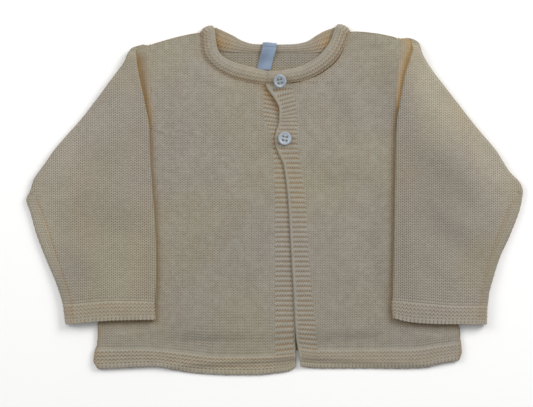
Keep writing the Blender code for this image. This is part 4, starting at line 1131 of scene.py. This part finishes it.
def knit_back(wool):
    """The back, its right side on the table and its purl side up in the neck."""
    # The rows where the sides turn straight, the neck's stitches start, the rows draw together, and all end
    straight, neck_row, squeezed, top_row = -118.0, 96.0, 116.6, 132.4
    # How far out the neck's stitches go, and the length of the cut
    shown, length = 50.0, 265.0
    rows = np.concatenate([
        np.linspace(HEM_LOW, HEM_HIGH, BORDER_ROWS, endpoint=False),
        np.arange(HEM_HIGH, neck_row, COURSE / 2),
        np.arange(HEM_HIGH + math.ceil((neck_row - HEM_HIGH) / COURSE) * COURSE, top_row, COURSE / 4),
    ])
    row = rows[:, None]
    low = -curve(BODY_EDGE["right"], np.clip(rows, straight, SHOULDER_FOOT["right"]))
    high = curve(BODY_EDGE["left"], np.clip(rows, straight, SHOULDER_FOOT["left"]))
    course = (row - HEM_HIGH) / COURSE
    hem = row < HEM_HIGH

    def back_y(x):
        bottom = curve(BACK_HEM, x)
        above = row + (bottom - HEM_LOW) * ramp(row, HEM_HIGH + HEM_BEND, HEM_HIGH)
        y = np.where(hem, bottom + row - HEM_LOW, above)
        top = curve(BACK_TOP, x) + 0.7
        squeeze = (top - squeezed) / (rows[-1] - squeezed)
        return np.where(row > squeezed, squeezed + (row - squeezed) * squeeze, y)

    def edge(x):
        near = np.minimum(to_edge(x, low, rows), to_edge(x, high, rows))
        top = curve(BACK_TOP, x) - back_y(x) + 1.5 * ramp(np.abs(x), 60.0, 54.0)
        return rounded(np.minimum(near, np.maximum(np.minimum(row - HEM_LOW, top), 0)), 1.5)

    neck = wales(np.maximum(low, -shown), np.minimum(high, shown), wool.wale / 4)
    neck = np.where(row > neck_row, neck, np.round(neck / 10.0) * 10.0)
    sides = np.linspace(0, 1, 7)
    fade = ramp(row, squeezed + 2.0, squeezed) * ramp(row, neck_row, neck_row + 3.0)
    face = []
    for x in (
        low[:, None] + (neck[:, :1] - low[:, None]) * sides[:-1],
        neck,
        neck[:, -1:] + (high[:, None] - neck[:, -1:]) * sides[1:],
    ):
        crest = purl(x / wool.wale, course)
        z = (1.25 + 0.7 * crest * fade) * edge(x)
        crest = crest * fade + 0.5 * (1 - fade)
        finish = np.where(fade > 0, PURLED, INSIDE)
        # Painted shade: the inside in the neck is tinted slightly warmer and darker
        face.append(strip(x, back_y(x), z, x / wool.wale, course, crest, finish, painted_shade=0.04, tone_and_painted_light=-0.06))
    x = wales(low, high, wool.wale / 2)[:, ::-1]
    u = x / wool.wale + 0.25
    crest = np.where(hem, border(u, hem_share(row)), stocking(u, course))
    near = np.minimum(to_edge(x, low, rows), to_edge(x, high, rows))
    bend = np.where(hem, 0.0, slant(u) * COURSE) * ramp(near, 0.0, 3.0)
    bend = bend * ramp(row, squeezed, squeezed - 6.0) * ramp(row, HEM_HIGH, HEM_HIGH + 3.0)
    z = 0.55 * (1 - crest) * ramp(near, 0.0, 1.5)
    under = strip(x, back_y(x) + bend, z, u, course, crest, np.where(hem, GARTER, PLAIN))
    made = knit("back_knit", [*face, under], sum(part.shape[1] for part in face))
    dress(made, "back", wool_finishes(wool))


def sleeve_outline(side, rows, wool):
    """The tube's outline at each row: q and z of every column, with its stitches and what it is."""
    row = rows[:, None]
    wale = wool.sleeve_wale
    inner, outer = curve(SLEEVE_INNER[side], rows), curve(SLEEVE_OUTER[side], rows)
    width = outer - inner
    roll, turn = np.minimum(3.2, 0.3 * width), np.minimum(2.0, 0.25 * width)
    seam = seam_out(side, rows)
    folded = rows >= FOLD_END
    low_end = np.minimum(seam, outer - roll - 1.2)
    lap = np.minimum(6.0, np.minimum(0.45 * (outer - roll - low_end), 0.6 * (outer - roll - inner - turn)))
    notch = np.where(folded, np.maximum(low_end, inner + turn + 0.4) + lap, outer - roll - 3.0)
    notch = np.minimum(notch, outer - roll - 0.3)
    seam = np.minimum(seam, notch - 0.3)
    inner, outer, roll, turn, seam, notch, folded = (
        values[:, None] for values in (inner, outer, roll, turn, seam, notch, folded)
    )
    layer_top = FRONT_TOP * under_layers(row)
    start, end = inner + turn, outer - roll
    first, last = inner + 0.3, outer - 0.35

    def over(q):
        over_outer = np.sqrt(1 - np.clip((q - end) / roll, 0, 1) ** 2)
        over_inner = np.sqrt(1 - np.clip((start - q) / turn, 0, 1) ** 2)
        z = sleeve_top(side, np.clip(q, start, end), row)
        low = beneath(start)
        z = np.where(q > end, z * (1 + over_outer) / 2, (z + low) / 2 + (z - low) / 2 * over_inner)
        head = ramp(row, SLEEVE_TOP[side] - 9.0, SLEEVE_TOP[side] - 4.0)
        return z - (z - layer_top - 0.5) * ramp(q - first, 8.0, 0.0) * head

    def beneath(q):
        rest = sleeve_rest(side, q, row, False)
        return np.where(folded, np.maximum(rest, layer_top + AIR), rest)

    at_notch = beneath(notch)
    shown_seam = np.minimum(curve(UNDERARM_SHOWN[side], row), last)
    shown_seam = np.where(row > 5.0, last, shown_seam)
    found = []

    def column(q, z, kind, u=None):
        q, z = np.broadcast_arrays(q, z)
        found.append((q, z, q / wale if u is None else np.broadcast_to(u, q.shape), kind))

    def bent(degrees):
        return math.sin(math.radians(degrees)), math.cos(math.radians(degrees))

    q = wales(start[:, 0], notch[:, 0], wale / 2)
    column(q, beneath(q), "under")
    column(notch + np.where(folded, 0.25, 0.0), np.where(folded, layer_top + AIR / 2, at_notch), "under")
    q = wales(seam[:, 0] - 0.6, notch[:, 0], wale / 4)[:, ::-1]
    exposed = ramp(q - inner, 2.0, -2.0) * ramp(row, 56.0, 64.0)
    exposed = exposed * (0.2 + 0.8 * ramp(row, SLEEVE_TOP[side] - 4.0, SLEEVE_TOP[side] - 13.0))
    dip = 1.9 * ramp(q - seam, 0.0, 8.0) * exposed + 0.9 * ramp(q - seam, 3.0, 0.0) - 0.5 * exposed
    dip = dip + 0.4 * ramp(q - seam, 0.3, -0.5)
    column(np.where(folded, q, notch), np.where(folded, layer_top + 0.3 - dip, at_notch), "layer")
    column(np.where(folded, seam, notch), np.where(folded, 0.45 * layer_top, at_notch), "edge")
    q = wales(seam[:, 0], end[:, 0], wale / 2)
    column(np.where(folded, q, notch), np.where(folded, 0.0, at_notch), "table")
    high = sleeve_top(side, end, row)
    for sine, cosine in map(bent, (-72, -45, -18, 8)):
        column(end + roll * cosine, high * (1 + sine) / 2, "wrap", u=outer / wale)
    steps = 12
    for i in range(steps):
        q = last + (shown_seam - last) * i / steps
        column(q, over(q), "strip", u=i / 4)
    q = wales(first[:, 0], shown_seam[:, 0], wale / 4)[:, ::-1]
    column(q, over(q), "top")
    high, low = sleeve_top(side, start, row), beneath(start)
    for sine, cosine in map(bent, (12, -18, -50)):
        column(start - turn * cosine, (high + low) / 2 + (high - low) / 2 * sine, "turn")
    return found, inner, outer, shown_seam


def knit_sleeve(side, wool):
    """One sleeve, a tube from its lining inside the cuff to the armhole."""
    deep = np.concatenate([np.arange(HOLLOW_END, CUFF_LOW, -6.0), [CUFF_LOW]])
    rows = np.concatenate([
        deep,
        np.linspace(CUFF_LOW, CUFF_HIGH, BORDER_ROWS, endpoint=False),
        np.arange(CUFF_HIGH, SLEEVE_TOP[side], SLEEVE_COURSE / 3),
    ])
    row = rows[:, None]
    lining = (np.arange(len(rows)) < len(deep))[:, None]
    course = (row - CUFF_HIGH) / SLEEVE_COURSE
    cuff = row < CUFF_HIGH
    cuff_share = (row - CUFF_LOW) / (CUFF_HIGH - CUFF_LOW)
    found, inner, outer, shown_seam = sleeve_outline(side, rows, wool)
    end_roll = rounded(row - CUFF_LOW, 1.6)
    finish = np.where(lining, INSIDE, np.where(cuff, GARTER, PLAIN))
    seam_shows = ramp(row, 4.0, -2.0)
    strips = []
    for q, z, u, kind in found:
        # The lining stays a wall's thickness inside the knitting
        deep_q = np.clip(q, inner + 1.9, outer - 2.3)
        deep_floor = sleeve_rest(side, deep_q, row, False) + 1.5
        deep_top = np.maximum(sleeve_top(side, deep_q, row) - 1.7, deep_floor + 0.2)
        deep_z = np.clip(z, deep_floor, deep_top)
        deep_y = sleeve_y(side, deep_q, row) + np.where(row == CUFF_LOW, 0.5, 0.0)

        crest = np.where(cuff, border(u, cuff_share), stocking(u, course))
        lift = np.where(cuff, wool.ridge, wool.relief) * end_roll
        near = np.minimum(np.abs(q - shown_seam), np.abs(q - inner))
        bend = np.where(cuff, 0.0, slant(u) + wool.uneven * 0.13 * wobble(q, row, 6.0, 6)) * SLEEVE_COURSE
        bend = bend * ramp(row, CUFF_HIGH, CUFF_HIGH + 3.0)
        # Painted shade: a faint warm tint all over, more where shade falls below
        painted_shade, tone_and_painted_light = 0.02, 0.0
        if kind in ("top", "strip"):
            # Painted shade along the underarm seam where it shows, and across the cuff beyond it
            painted_shade = 0.02 + 0.4 * near_to(q - shown_seam, 0.9) * seam_shows
            painted_shade = np.maximum(painted_shade, np.where(cuff, 0.15 * smooth(q - shown_seam), 0.0))
            groove = 0.7 * hill(q - shown_seam, 0.9) * seam_shows
            z = z - 0.35 + crest * lift - groove * ~cuff + 0.25 * wobble(q, row, 19.0, 9)
            bend = bend * (0.6 if kind == "strip" else 1.0)
        elif kind == "layer":
            crest = 0.2 + 0.8 * crest
            z = z + 0.6 * crest * wool.relief
            # Painted shade in the wedge of cloth beside the sleeve's upper fold, strongest at the fold; on the
            # left sleeve a warm painted glow there as well
            painted_shade = 1.1 * near_to(inner - q, 5.0) * ramp(row, 50.0, 60.0)
            if side == "right":
                painted_shade = painted_shade * (0.25 + 0.75 * ramp(row, SLEEVE_TOP[side] - 4.0, SLEEVE_TOP[side] - 13.0))
            else:
                tone_and_painted_light = 0.7 * near_to(inner - q, 4.0) * ramp(row, 70.0, 80.0)
        elif kind == "table":
            z = z + 0.5 * (1 - crest)
        elif kind == "under":
            z = z + 0.45 * (1 - crest)
        elif kind == "wrap":
            q = q + crest * lift * 0.6 - 0.3
            bend = 0.0 * bend
        else:
            q = q - np.where(cuff, crest * lift * 0.5, 0.0)
            bend = 0.0 * bend
        if kind in ("top", "layer", "table", "under"):
            bend = bend * ramp(near, 0.0, 3.0)
        y = sleeve_y(side, q, row) + bend
        q, y, z = np.where(lining, deep_q, q), np.where(lining, deep_y, y), np.where(lining, deep_z, z)
        crest = np.where(lining, 0.5, crest)
        y = y - np.where(cuff, scallop(u, row - CUFF_LOW), 0.0)
        # Painted light and shade from the table on the sleeve's outside, and the cuff painted paler
        if kind in ("top", "strip", "wrap", "turn"):
            tone_and_painted_light = folds(PAINTED_LIGHT, OUTWARD[side] * q, y)
        tone_and_painted_light = tone_and_painted_light + np.where(cuff, border_painted_light(cuff_share), 0.0)
        painted_shade = np.where(lining, 0.0, painted_shade)
        strips.append(strip(OUTWARD[side] * q, y, z, u, course, crest, finish, painted_shade=painted_shade, tone_and_painted_light=tone_and_painted_light))
    made = knit(f"sleeve_{side}_knit", strips)
    dress(made, f"sleeve_{side}", wool_finishes(wool))


def neckband_arch(table, way):
    """Stations along one half of the band: its edges, the way its outer face looks and its bulge that way."""
    steps = 60
    found = spline(table, steps)
    return np.hstack([found[:, :6], np.tile((0.0, 0.0, way), (steps, 1)), way * found[:, 6:]])


def neckband_turn(side, way):
    """Stations where the band turns over a shoulder."""
    x, y, free_x, free_y = NECKBAND_TURN[side]
    away = unit(np.array((OUTWARD[side] * abs(free_y - y), abs(free_x - x), 0.0)))
    stations = ((90, 3.0), (60, 2.9), (30, 2.6), (0, 2.2), (-30, 0.9), (-60, 0.15), (-90, 0.0))
    rows = []
    for degrees, bulge in stations[::way]:
        look = away * math.cos(math.radians(degrees)) + np.array((0, 0, math.sin(math.radians(degrees))))
        shift = TURN_RADIUS * look + np.array((0, 0, TURN_MIDDLE))
        rows.append([*(np.array((x, y, 0)) + shift), *(np.array((free_x, free_y, 0)) + shift), *look, bulge])
    return np.array(rows)


def knit_neckband(wool):
    """The neckband, one garter strip whose ends lap at the top button."""
    sections = np.concatenate([
        neckband_arch(NECKBAND_LEFT, 1.0),
        neckband_turn("left", 1),
        neckband_arch(NECKBAND_BACK, -1.0),
        neckband_turn("right", -1),
        neckband_arch(NECKBAND_RIGHT, 1.0)[::-1],
    ])
    length = lengths((sections[:, 0:3] + sections[:, 3:6]) / 2)
    at = np.linspace(0, length[-1], round(length[-1] / (NECKBAND_WALE / 4)))
    sections = np.stack([np.interp(at, length, column) for column in sections.T], axis=1)
    attached, free, look, bulge = np.split(sections, (3, 6, 9), axis=1)
    look = unit(look)
    across = unit(free - attached)
    attached = attached - across * 1.2

    shares = np.linspace(0, 1, 6 * NECKBAND_RIDGES + 1)
    spread = 0.6 * shares + 0.2 * (1 - np.cos(np.pi * shares))
    u = (at / NECKBAND_WALE)[:, None]
    behind = look[:, 2:] < 0
    well_behind = look[:, 2:] < -0.5
    place = attached[:, None] + (free - attached)[:, None] * spread[None, :, None]
    teeth = 0.6 * tooth(u) * ~behind * hill(shares, 0.24)
    place = place + across[:, None] * teeth[:, :, None]
    high = np.where(well_behind, shares**1.8, shares)
    place = place + (look * bulge)[:, None] * np.sin(np.pi * high)[:, :, None]
    ahead = unit(np.gradient(place, axis=1))
    along = (ahead * across[:, None]).sum(2, keepdims=True)
    out_of = (ahead * look[:, None]).sum(2, keepdims=True)
    normal = look[:, None] * along - across[:, None] * out_of

    phase = shares[None] * NECKBAND_RIDGES
    ends = 0.1 + 0.9 * ramp(np.minimum(at, at[-1] - at)[:, None], 0.0, 3.0)
    rise = np.where(well_behind, ramp(shares, 0.0, 0.4), 1.0)
    thick = rounded(np.minimum(shares, 1 - shares)[None] * 12.0, 0.9) * ends * BAND_WALL / 2
    thick = thick * (0.15 + 0.85 * rise)
    crest = garter(u, phase, WAVE, 1.15)
    crest = crest + (0.8 - crest) * 0.35 * ramp(shares, 0.2, 0.2 + 1 / 1.5)
    # Painted shade: on the front half the crests sink towards the attached edge, darkening its colour as well
    # as its relief
    crest = crest * (1 - np.where(behind, 0.0, 0.27) * near_to(shares, 0.15))
    crest = crest + (0.75 - crest) * np.where(behind, hill(shares, 0.14), 0.0)
    strips = []
    for face in (1, -1):
        up = np.clip(face * normal[:, :, 2], -0.2, 1) * 0.45 + 0.55
        lift = crest * wool.ridge * np.maximum(up, 0.25) * ends * rise
        x, y, z = np.moveaxis(place + face * normal * (thick * 0.8 + lift)[:, :, None], 2, 0)
        # Painted shade along the band's attached edge; in the neck's inner corners a painted warm glow, tinted
        # and made paler
        corner = near_to(np.hypot(np.abs(x) - 44.0, (y - 124.0) / 1.4), 8.0) * behind
        painted_shade = np.maximum(0.85 * corner, np.where(behind, 0.08, 0.7) * near_to(shares, 0.16))
        values = (x, y, np.maximum(z, 0.02), u, phase, crest, GARTER)
        strips.append(strip(*values, painted_shade=painted_shade, tone_and_painted_light=0.16 * corner)[:, ::face])
    made = knit("neckband_knit", strips)
    dress(made, "neckband", wool_finishes(wool))


def sew_ribbon(trim):
    """The bare ribbon inside the back neck."""
    line = spline(RIBBON_LINE, 60)
    length = lengths(line)
    across = unit(np.array((1.0, RIBBON_LEAN, 0.0)))
    normal = unit(np.cross(across, unit(np.gradient(line, axis=0))))
    share = np.linspace(-1, 1, 33)[None]
    hem = 0.07 * ramp(np.abs(share), 0.86, 0.91)
    buckle = 0.3 * np.sin(2.4 * share + length[:, None] / 6.0 - 0.6) * smooth(1.2 - np.abs(share))
    half = RIBBON_THICK / 2 * rounded((1 - np.abs(share)) * RIBBON_WIDTH / 2, 0.3)
    out = share * RIBBON_WIDTH / 2
    strips = []
    for face in (1, -1):
        level = face * (half + hem) + buckle
        point = line[:, None] + across * out[:, :, None] + normal[:, None] * level[:, :, None]
        strips.append(strip(*np.moveaxis(point, 2, 0), out, length[:, None], 1.0, PLAIN)[:, ::face])
    made = knit("label_ribbon", strips)
    dress(made, "label", [satin(trim)])


def turned(name, profile, steps, x=0.0, y=0.0):
    """A round body, closed at both ends, from its profile as radius and height, about an upright axis."""
    angles = np.linspace(0, 2 * np.pi, steps, endpoint=False)
    radius, height = np.array(profile).T[:, :, None]
    across, along = x + radius * np.cos(angles), y + radius * np.sin(angles)
    return knit(name, [strip(across, along, height, across, along, 0.0, 0)])


def turn_button(name, material):
    """A round button with a raised rim and a shallow dish, its four holes cut through."""
    radius, half = BUTTON_ACROSS / 2, BUTTON_THICK / 2
    dish = radius - BUTTON_RIM
    profile = (
        (radius - 1.7, -half), (radius - 1.0, -half + 0.06), (radius - 0.35, -half + 0.42),
        (radius - 0.08, -0.35), (radius, 0.05), (radius - 0.1, 0.45), (radius - 0.36, half - 0.16),
        (radius - 0.75, half), (radius - 1.15, half - 0.04), (dish, half - 0.28), (dish - 0.45, half - 0.46),
        (dish - 1.0, half - BUTTON_DISH), (0.9, half - BUTTON_DISH - 0.03),
    )
    made = turned(f"{name}_pearl", profile, 96)
    made.data.materials.append(material)
    drill = ((0.95, -2.0), (HOLE_ACROSS / 2, -0.9), (HOLE_ACROSS / 2, 0.4), (0.95, 1.5))
    cutters = []
    for degrees in (45, 135, 225, 315):
        angle = math.radians(degrees)
        cutter = turned(f"{name}_drill", drill, 24, HOLE_OUT * math.cos(angle), HOLE_OUT * math.sin(angle))
        cut = made.modifiers.new("Hole", "BOOLEAN")
        cut.operation, cut.solver, cut.object = "DIFFERENCE", "EXACT", cutter
        cutters.append(cutter)
    bpy.context.view_layer.update()
    evaluated = made.evaluated_get(bpy.context.evaluated_depsgraph_get())
    data = bpy.data.meshes.new_from_object(evaluated)
    made.modifiers.clear()
    made.data = data
    data.shade_smooth()
    data.set_sharp_from_angle(angle=math.radians(38))
    for cutter in cutters:
        bpy.data.objects.remove(cutter, do_unlink=True)
    return made


def sew_button(name, material):
    """Two pairs of strands over the dish, down through the four holes to the cloth."""
    top, bottom = BUTTON_THICK / 2 - BUTTON_DISH, -BUTTON_THICK / 2 - 0.9
    hole = HOLE_OUT * math.sin(math.radians(45))
    share = np.linspace(-1, 1, 41)
    drop = np.clip((np.abs(share) - 0.6) / 0.4, 0, 1)
    sunk = np.clip(drop - 0.12, 0, 1)
    x = np.clip(share / 0.66, -1, 1) * hole
    z = top + 0.12 - 0.3 * smooth(drop * 8) + (bottom - top + 0.2) * sunk
    radius = (0.14 + 0.54 * smooth(sunk * 8))[:, None, None]
    ring = np.linspace(0, 2 * np.pi, 10, endpoint=False)
    side = np.array((0.0, 1.0, 0.0))
    strands = []
    for y in (-hole - 0.15, -hole + 0.15, hole - 0.15, hole + 0.15):
        path = np.stack([x, np.full_like(x, y), z], axis=1)
        up = np.cross(unit(np.gradient(path, axis=0)), side)
        tube = path[:, None] + radius * (side * np.cos(ring)[:, None] + up[:, None] * np.sin(ring)[:, None])
        values = (*np.moveaxis(tube, 2, 0), ring / (2 * np.pi), np.arange(len(path))[:, None] / 2, 1.0, 0)
        strands.append(knit(f"{name}_strand", [strip(*values)]))
    with bpy.context.temp_override(active_object=strands[0], selected_editable_objects=strands):
        bpy.ops.object.join()
    made = strands[0]
    made.name = made.data.name = f"{name}_thread"
    made.data.materials.append(material)
    return made


# ---- the stage ----


def lay_floor(stage):
    """A wide floor, just under the cardigan."""
    data = bpy.data.meshes.new("floor")
    reach = 6.0
    corners = [(-reach, -reach, 0), (reach, -reach, 0), (reach, reach, 0), (-reach, reach, 0)]
    data.from_pydata(corners, [], [(0, 1, 2, 3)])
    data.materials.append(pale_floor(stage))
    made = link(bpy.data.objects.new("floor", data))
    made.location.z = -0.0002
    made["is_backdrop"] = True


def hang_lights(stage):
    """A soft key from the upper right, a weaker one from the left, a broad light above and an even sky."""
    for name, place, size, share, colour in (
        ("key", (1.15, 0.9, 1.15), 1.0, 1.0, (1.0, 0.985, 0.96)),
        ("side", (-1.2, 0.6, 1.15), 1.0, 0.52, (1.0, 0.985, 0.96)),
        ("overhead", (-0.1, 0.5, 2.4), 2.0, 0.53, (0.97, 0.985, 1.0)),
    ):
        data = bpy.data.lights.new(name, "AREA")
        data.shape, data.size, data.energy, data.color = "DISK", size, stage.key * share, colour
        made = link(bpy.data.objects.new(name, data))
        made.location = place
        made.rotation_euler = (-Vector(place)).to_track_quat("-Z", "Y").to_euler()
    world = bpy.data.worlds.new("studio")
    world.use_nodes = True
    sky = world.node_tree.nodes["Background"]
    wire(world.node_tree, sky, {"Color": (0.97, 0.985, 1.0, 1.0), "Strength": stage.fill})
    bpy.context.scene.world = world


def hold_camera():
    """A long lens straight above, framed as in the photograph."""
    data = bpy.data.cameras.new("camera")
    data.sensor_width = 36.0
    data.lens = data.sensor_width * (CAMERA_HEIGHT - CLOTH_HEIGHT) / (VIEW_ACROSS * MM)
    data.clip_start, data.clip_end = 0.05, 50.0
    made = link(bpy.data.objects.new("camera", data))
    made.location = (VIEW_MIDDLE[0] * MM, VIEW_MIDDLE[1] * MM, CAMERA_HEIGHT)
    bpy.context.scene.camera = made


# ---- the steps ----


class CARDIGAN_OT_knit_back(bpy.types.Operator):
    """Knit the back, its right side down and its purl side up in the neck"""

    bl_idname = "cardigan.knit_back"
    bl_label = "Knit the back"

    def execute(self, context):
        knit_back(context.scene.cardigan_wool)
        return {"FINISHED"}


class CARDIGAN_OT_knit_fronts(bpy.types.Operator):
    """Knit both fronts with their garter bands and hems"""

    bl_idname = "cardigan.knit_fronts"
    bl_label = "Knit the fronts"

    def execute(self, context):
        for side in OUTWARD:
            knit_front(side, context.scene.cardigan_wool)
        return {"FINISHED"}


class CARDIGAN_OT_knit_sleeves(bpy.types.Operator):
    """Knit both sleeves, each a tube folded over the front, with its garter cuff"""

    bl_idname = "cardigan.knit_sleeves"
    bl_label = "Knit the sleeves"

    def execute(self, context):
        for side in OUTWARD:
            knit_sleeve(side, context.scene.cardigan_wool)
        return {"FINISHED"}


class CARDIGAN_OT_knit_neckband(bpy.types.Operator):
    """Knit the neckband, one garter strip whose ends lap at the top button"""

    bl_idname = "cardigan.knit_neckband"
    bl_label = "Knit the neckband"

    def execute(self, context):
        knit_neckband(context.scene.cardigan_wool)
        return {"FINISHED"}


class CARDIGAN_OT_sew_label(bpy.types.Operator):
    """Sew the bare ribbon inside the back neck"""

    bl_idname = "cardigan.sew_label"
    bl_label = "Sew the label"

    def execute(self, context):
        sew_ribbon(context.scene.cardigan_trim)
        return {"FINISHED"}


class CARDIGAN_OT_sew_buttons(bpy.types.Operator):
    """Turn the two pearly buttons and sew them on with thread"""

    bl_idname = "cardigan.sew_buttons"
    bl_label = "Sew the buttons"

    def execute(self, context):
        plastic, thread = pearl(context.scene.cardigan_trim), sewing_thread(context.scene.cardigan_wool)
        for name, (middle, leaning) in BUTTONS.items():
            button, stitches = turn_button(name, plastic), sew_button(name, thread)
            for piece in (button, stitches):
                piece.location = [value * MM for value in middle]
                piece.rotation_euler = [math.radians(value) for value in leaning]
                context.view_layer.update()
                piece.data.transform(piece.matrix_world)
                piece.location, piece.rotation_euler = (0, 0, 0), (0, 0, 0)
                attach(piece, "root")
            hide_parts(name)
        return {"FINISHED"}


class CARDIGAN_OT_set_stage(bpy.types.Operator):
    """Lay the pale floor, hang the soft lights and point the camera down"""

    bl_idname = "cardigan.set_stage"
    bl_label = "Set the stage"

    def execute(self, context):
        lay_floor(context.scene.cardigan_stage)
        hang_lights(context.scene.cardigan_stage)
        hold_camera()
        context.scene.view_settings.view_transform = "Standard"
        context.scene.view_settings.look = "None"
        return {"FINISHED"}


class CARDIGAN_PT_panel(bpy.types.Panel):
    """The cardigan's sizes, colours and steps"""

    bl_label = "Cardigan"
    bl_idname = "CARDIGAN_PT_panel"
    bl_space_type = "VIEW_3D"
    bl_region_type = "UI"
    bl_category = "Cardigan"

    def draw(self, context):
        for name in SETTINGS:
            group = getattr(context.scene, name)
            for key in group.bl_rna.properties.keys():
                if key not in ("rna_type", "name"):
                    self.layout.prop(group, key)
        for step in STEPS:
            self.layout.operator(step.bl_idname)


SETTINGS = {
    "cardigan_wool": CardiganWool,
    "cardigan_trim": CardiganTrim,
    "cardigan_stage": CardiganStage,
}
STEPS = (
    CARDIGAN_OT_knit_back,
    CARDIGAN_OT_knit_fronts,
    CARDIGAN_OT_knit_sleeves,
    CARDIGAN_OT_knit_neckband,
    CARDIGAN_OT_sew_label,
    CARDIGAN_OT_sew_buttons,
    CARDIGAN_OT_set_stage,
)


def register():
    for each in (*SETTINGS.values(), *STEPS, CARDIGAN_PT_panel):
        bpy.utils.register_class(each)
    for name, group in SETTINGS.items():
        setattr(bpy.types.Scene, name, PointerProperty(type=group))


def unregister():
    for name in SETTINGS:
        delattr(bpy.types.Scene, name)
    for each in reversed((*SETTINGS.values(), *STEPS, CARDIGAN_PT_panel)):
        bpy.utils.unregister_class(each)


def plain(bounds):
    """Bounds as lists of numbers."""
    return [[float(value) for value in corner] for corner in bounds]


def main():
    register()
    bpy.ops.cardigan.knit_back()
    bpy.ops.cardigan.knit_fronts()
    bpy.ops.cardigan.knit_sleeves()
    bpy.ops.cardigan.knit_neckband()
    bpy.ops.cardigan.sew_label()
    bpy.ops.cardigan.sew_buttons()
    bpy.ops.cardigan.set_stage()
    {"cad": plain(cad_bounds), "visual": plain(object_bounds())}


if __name__ == "__main__":
    main()
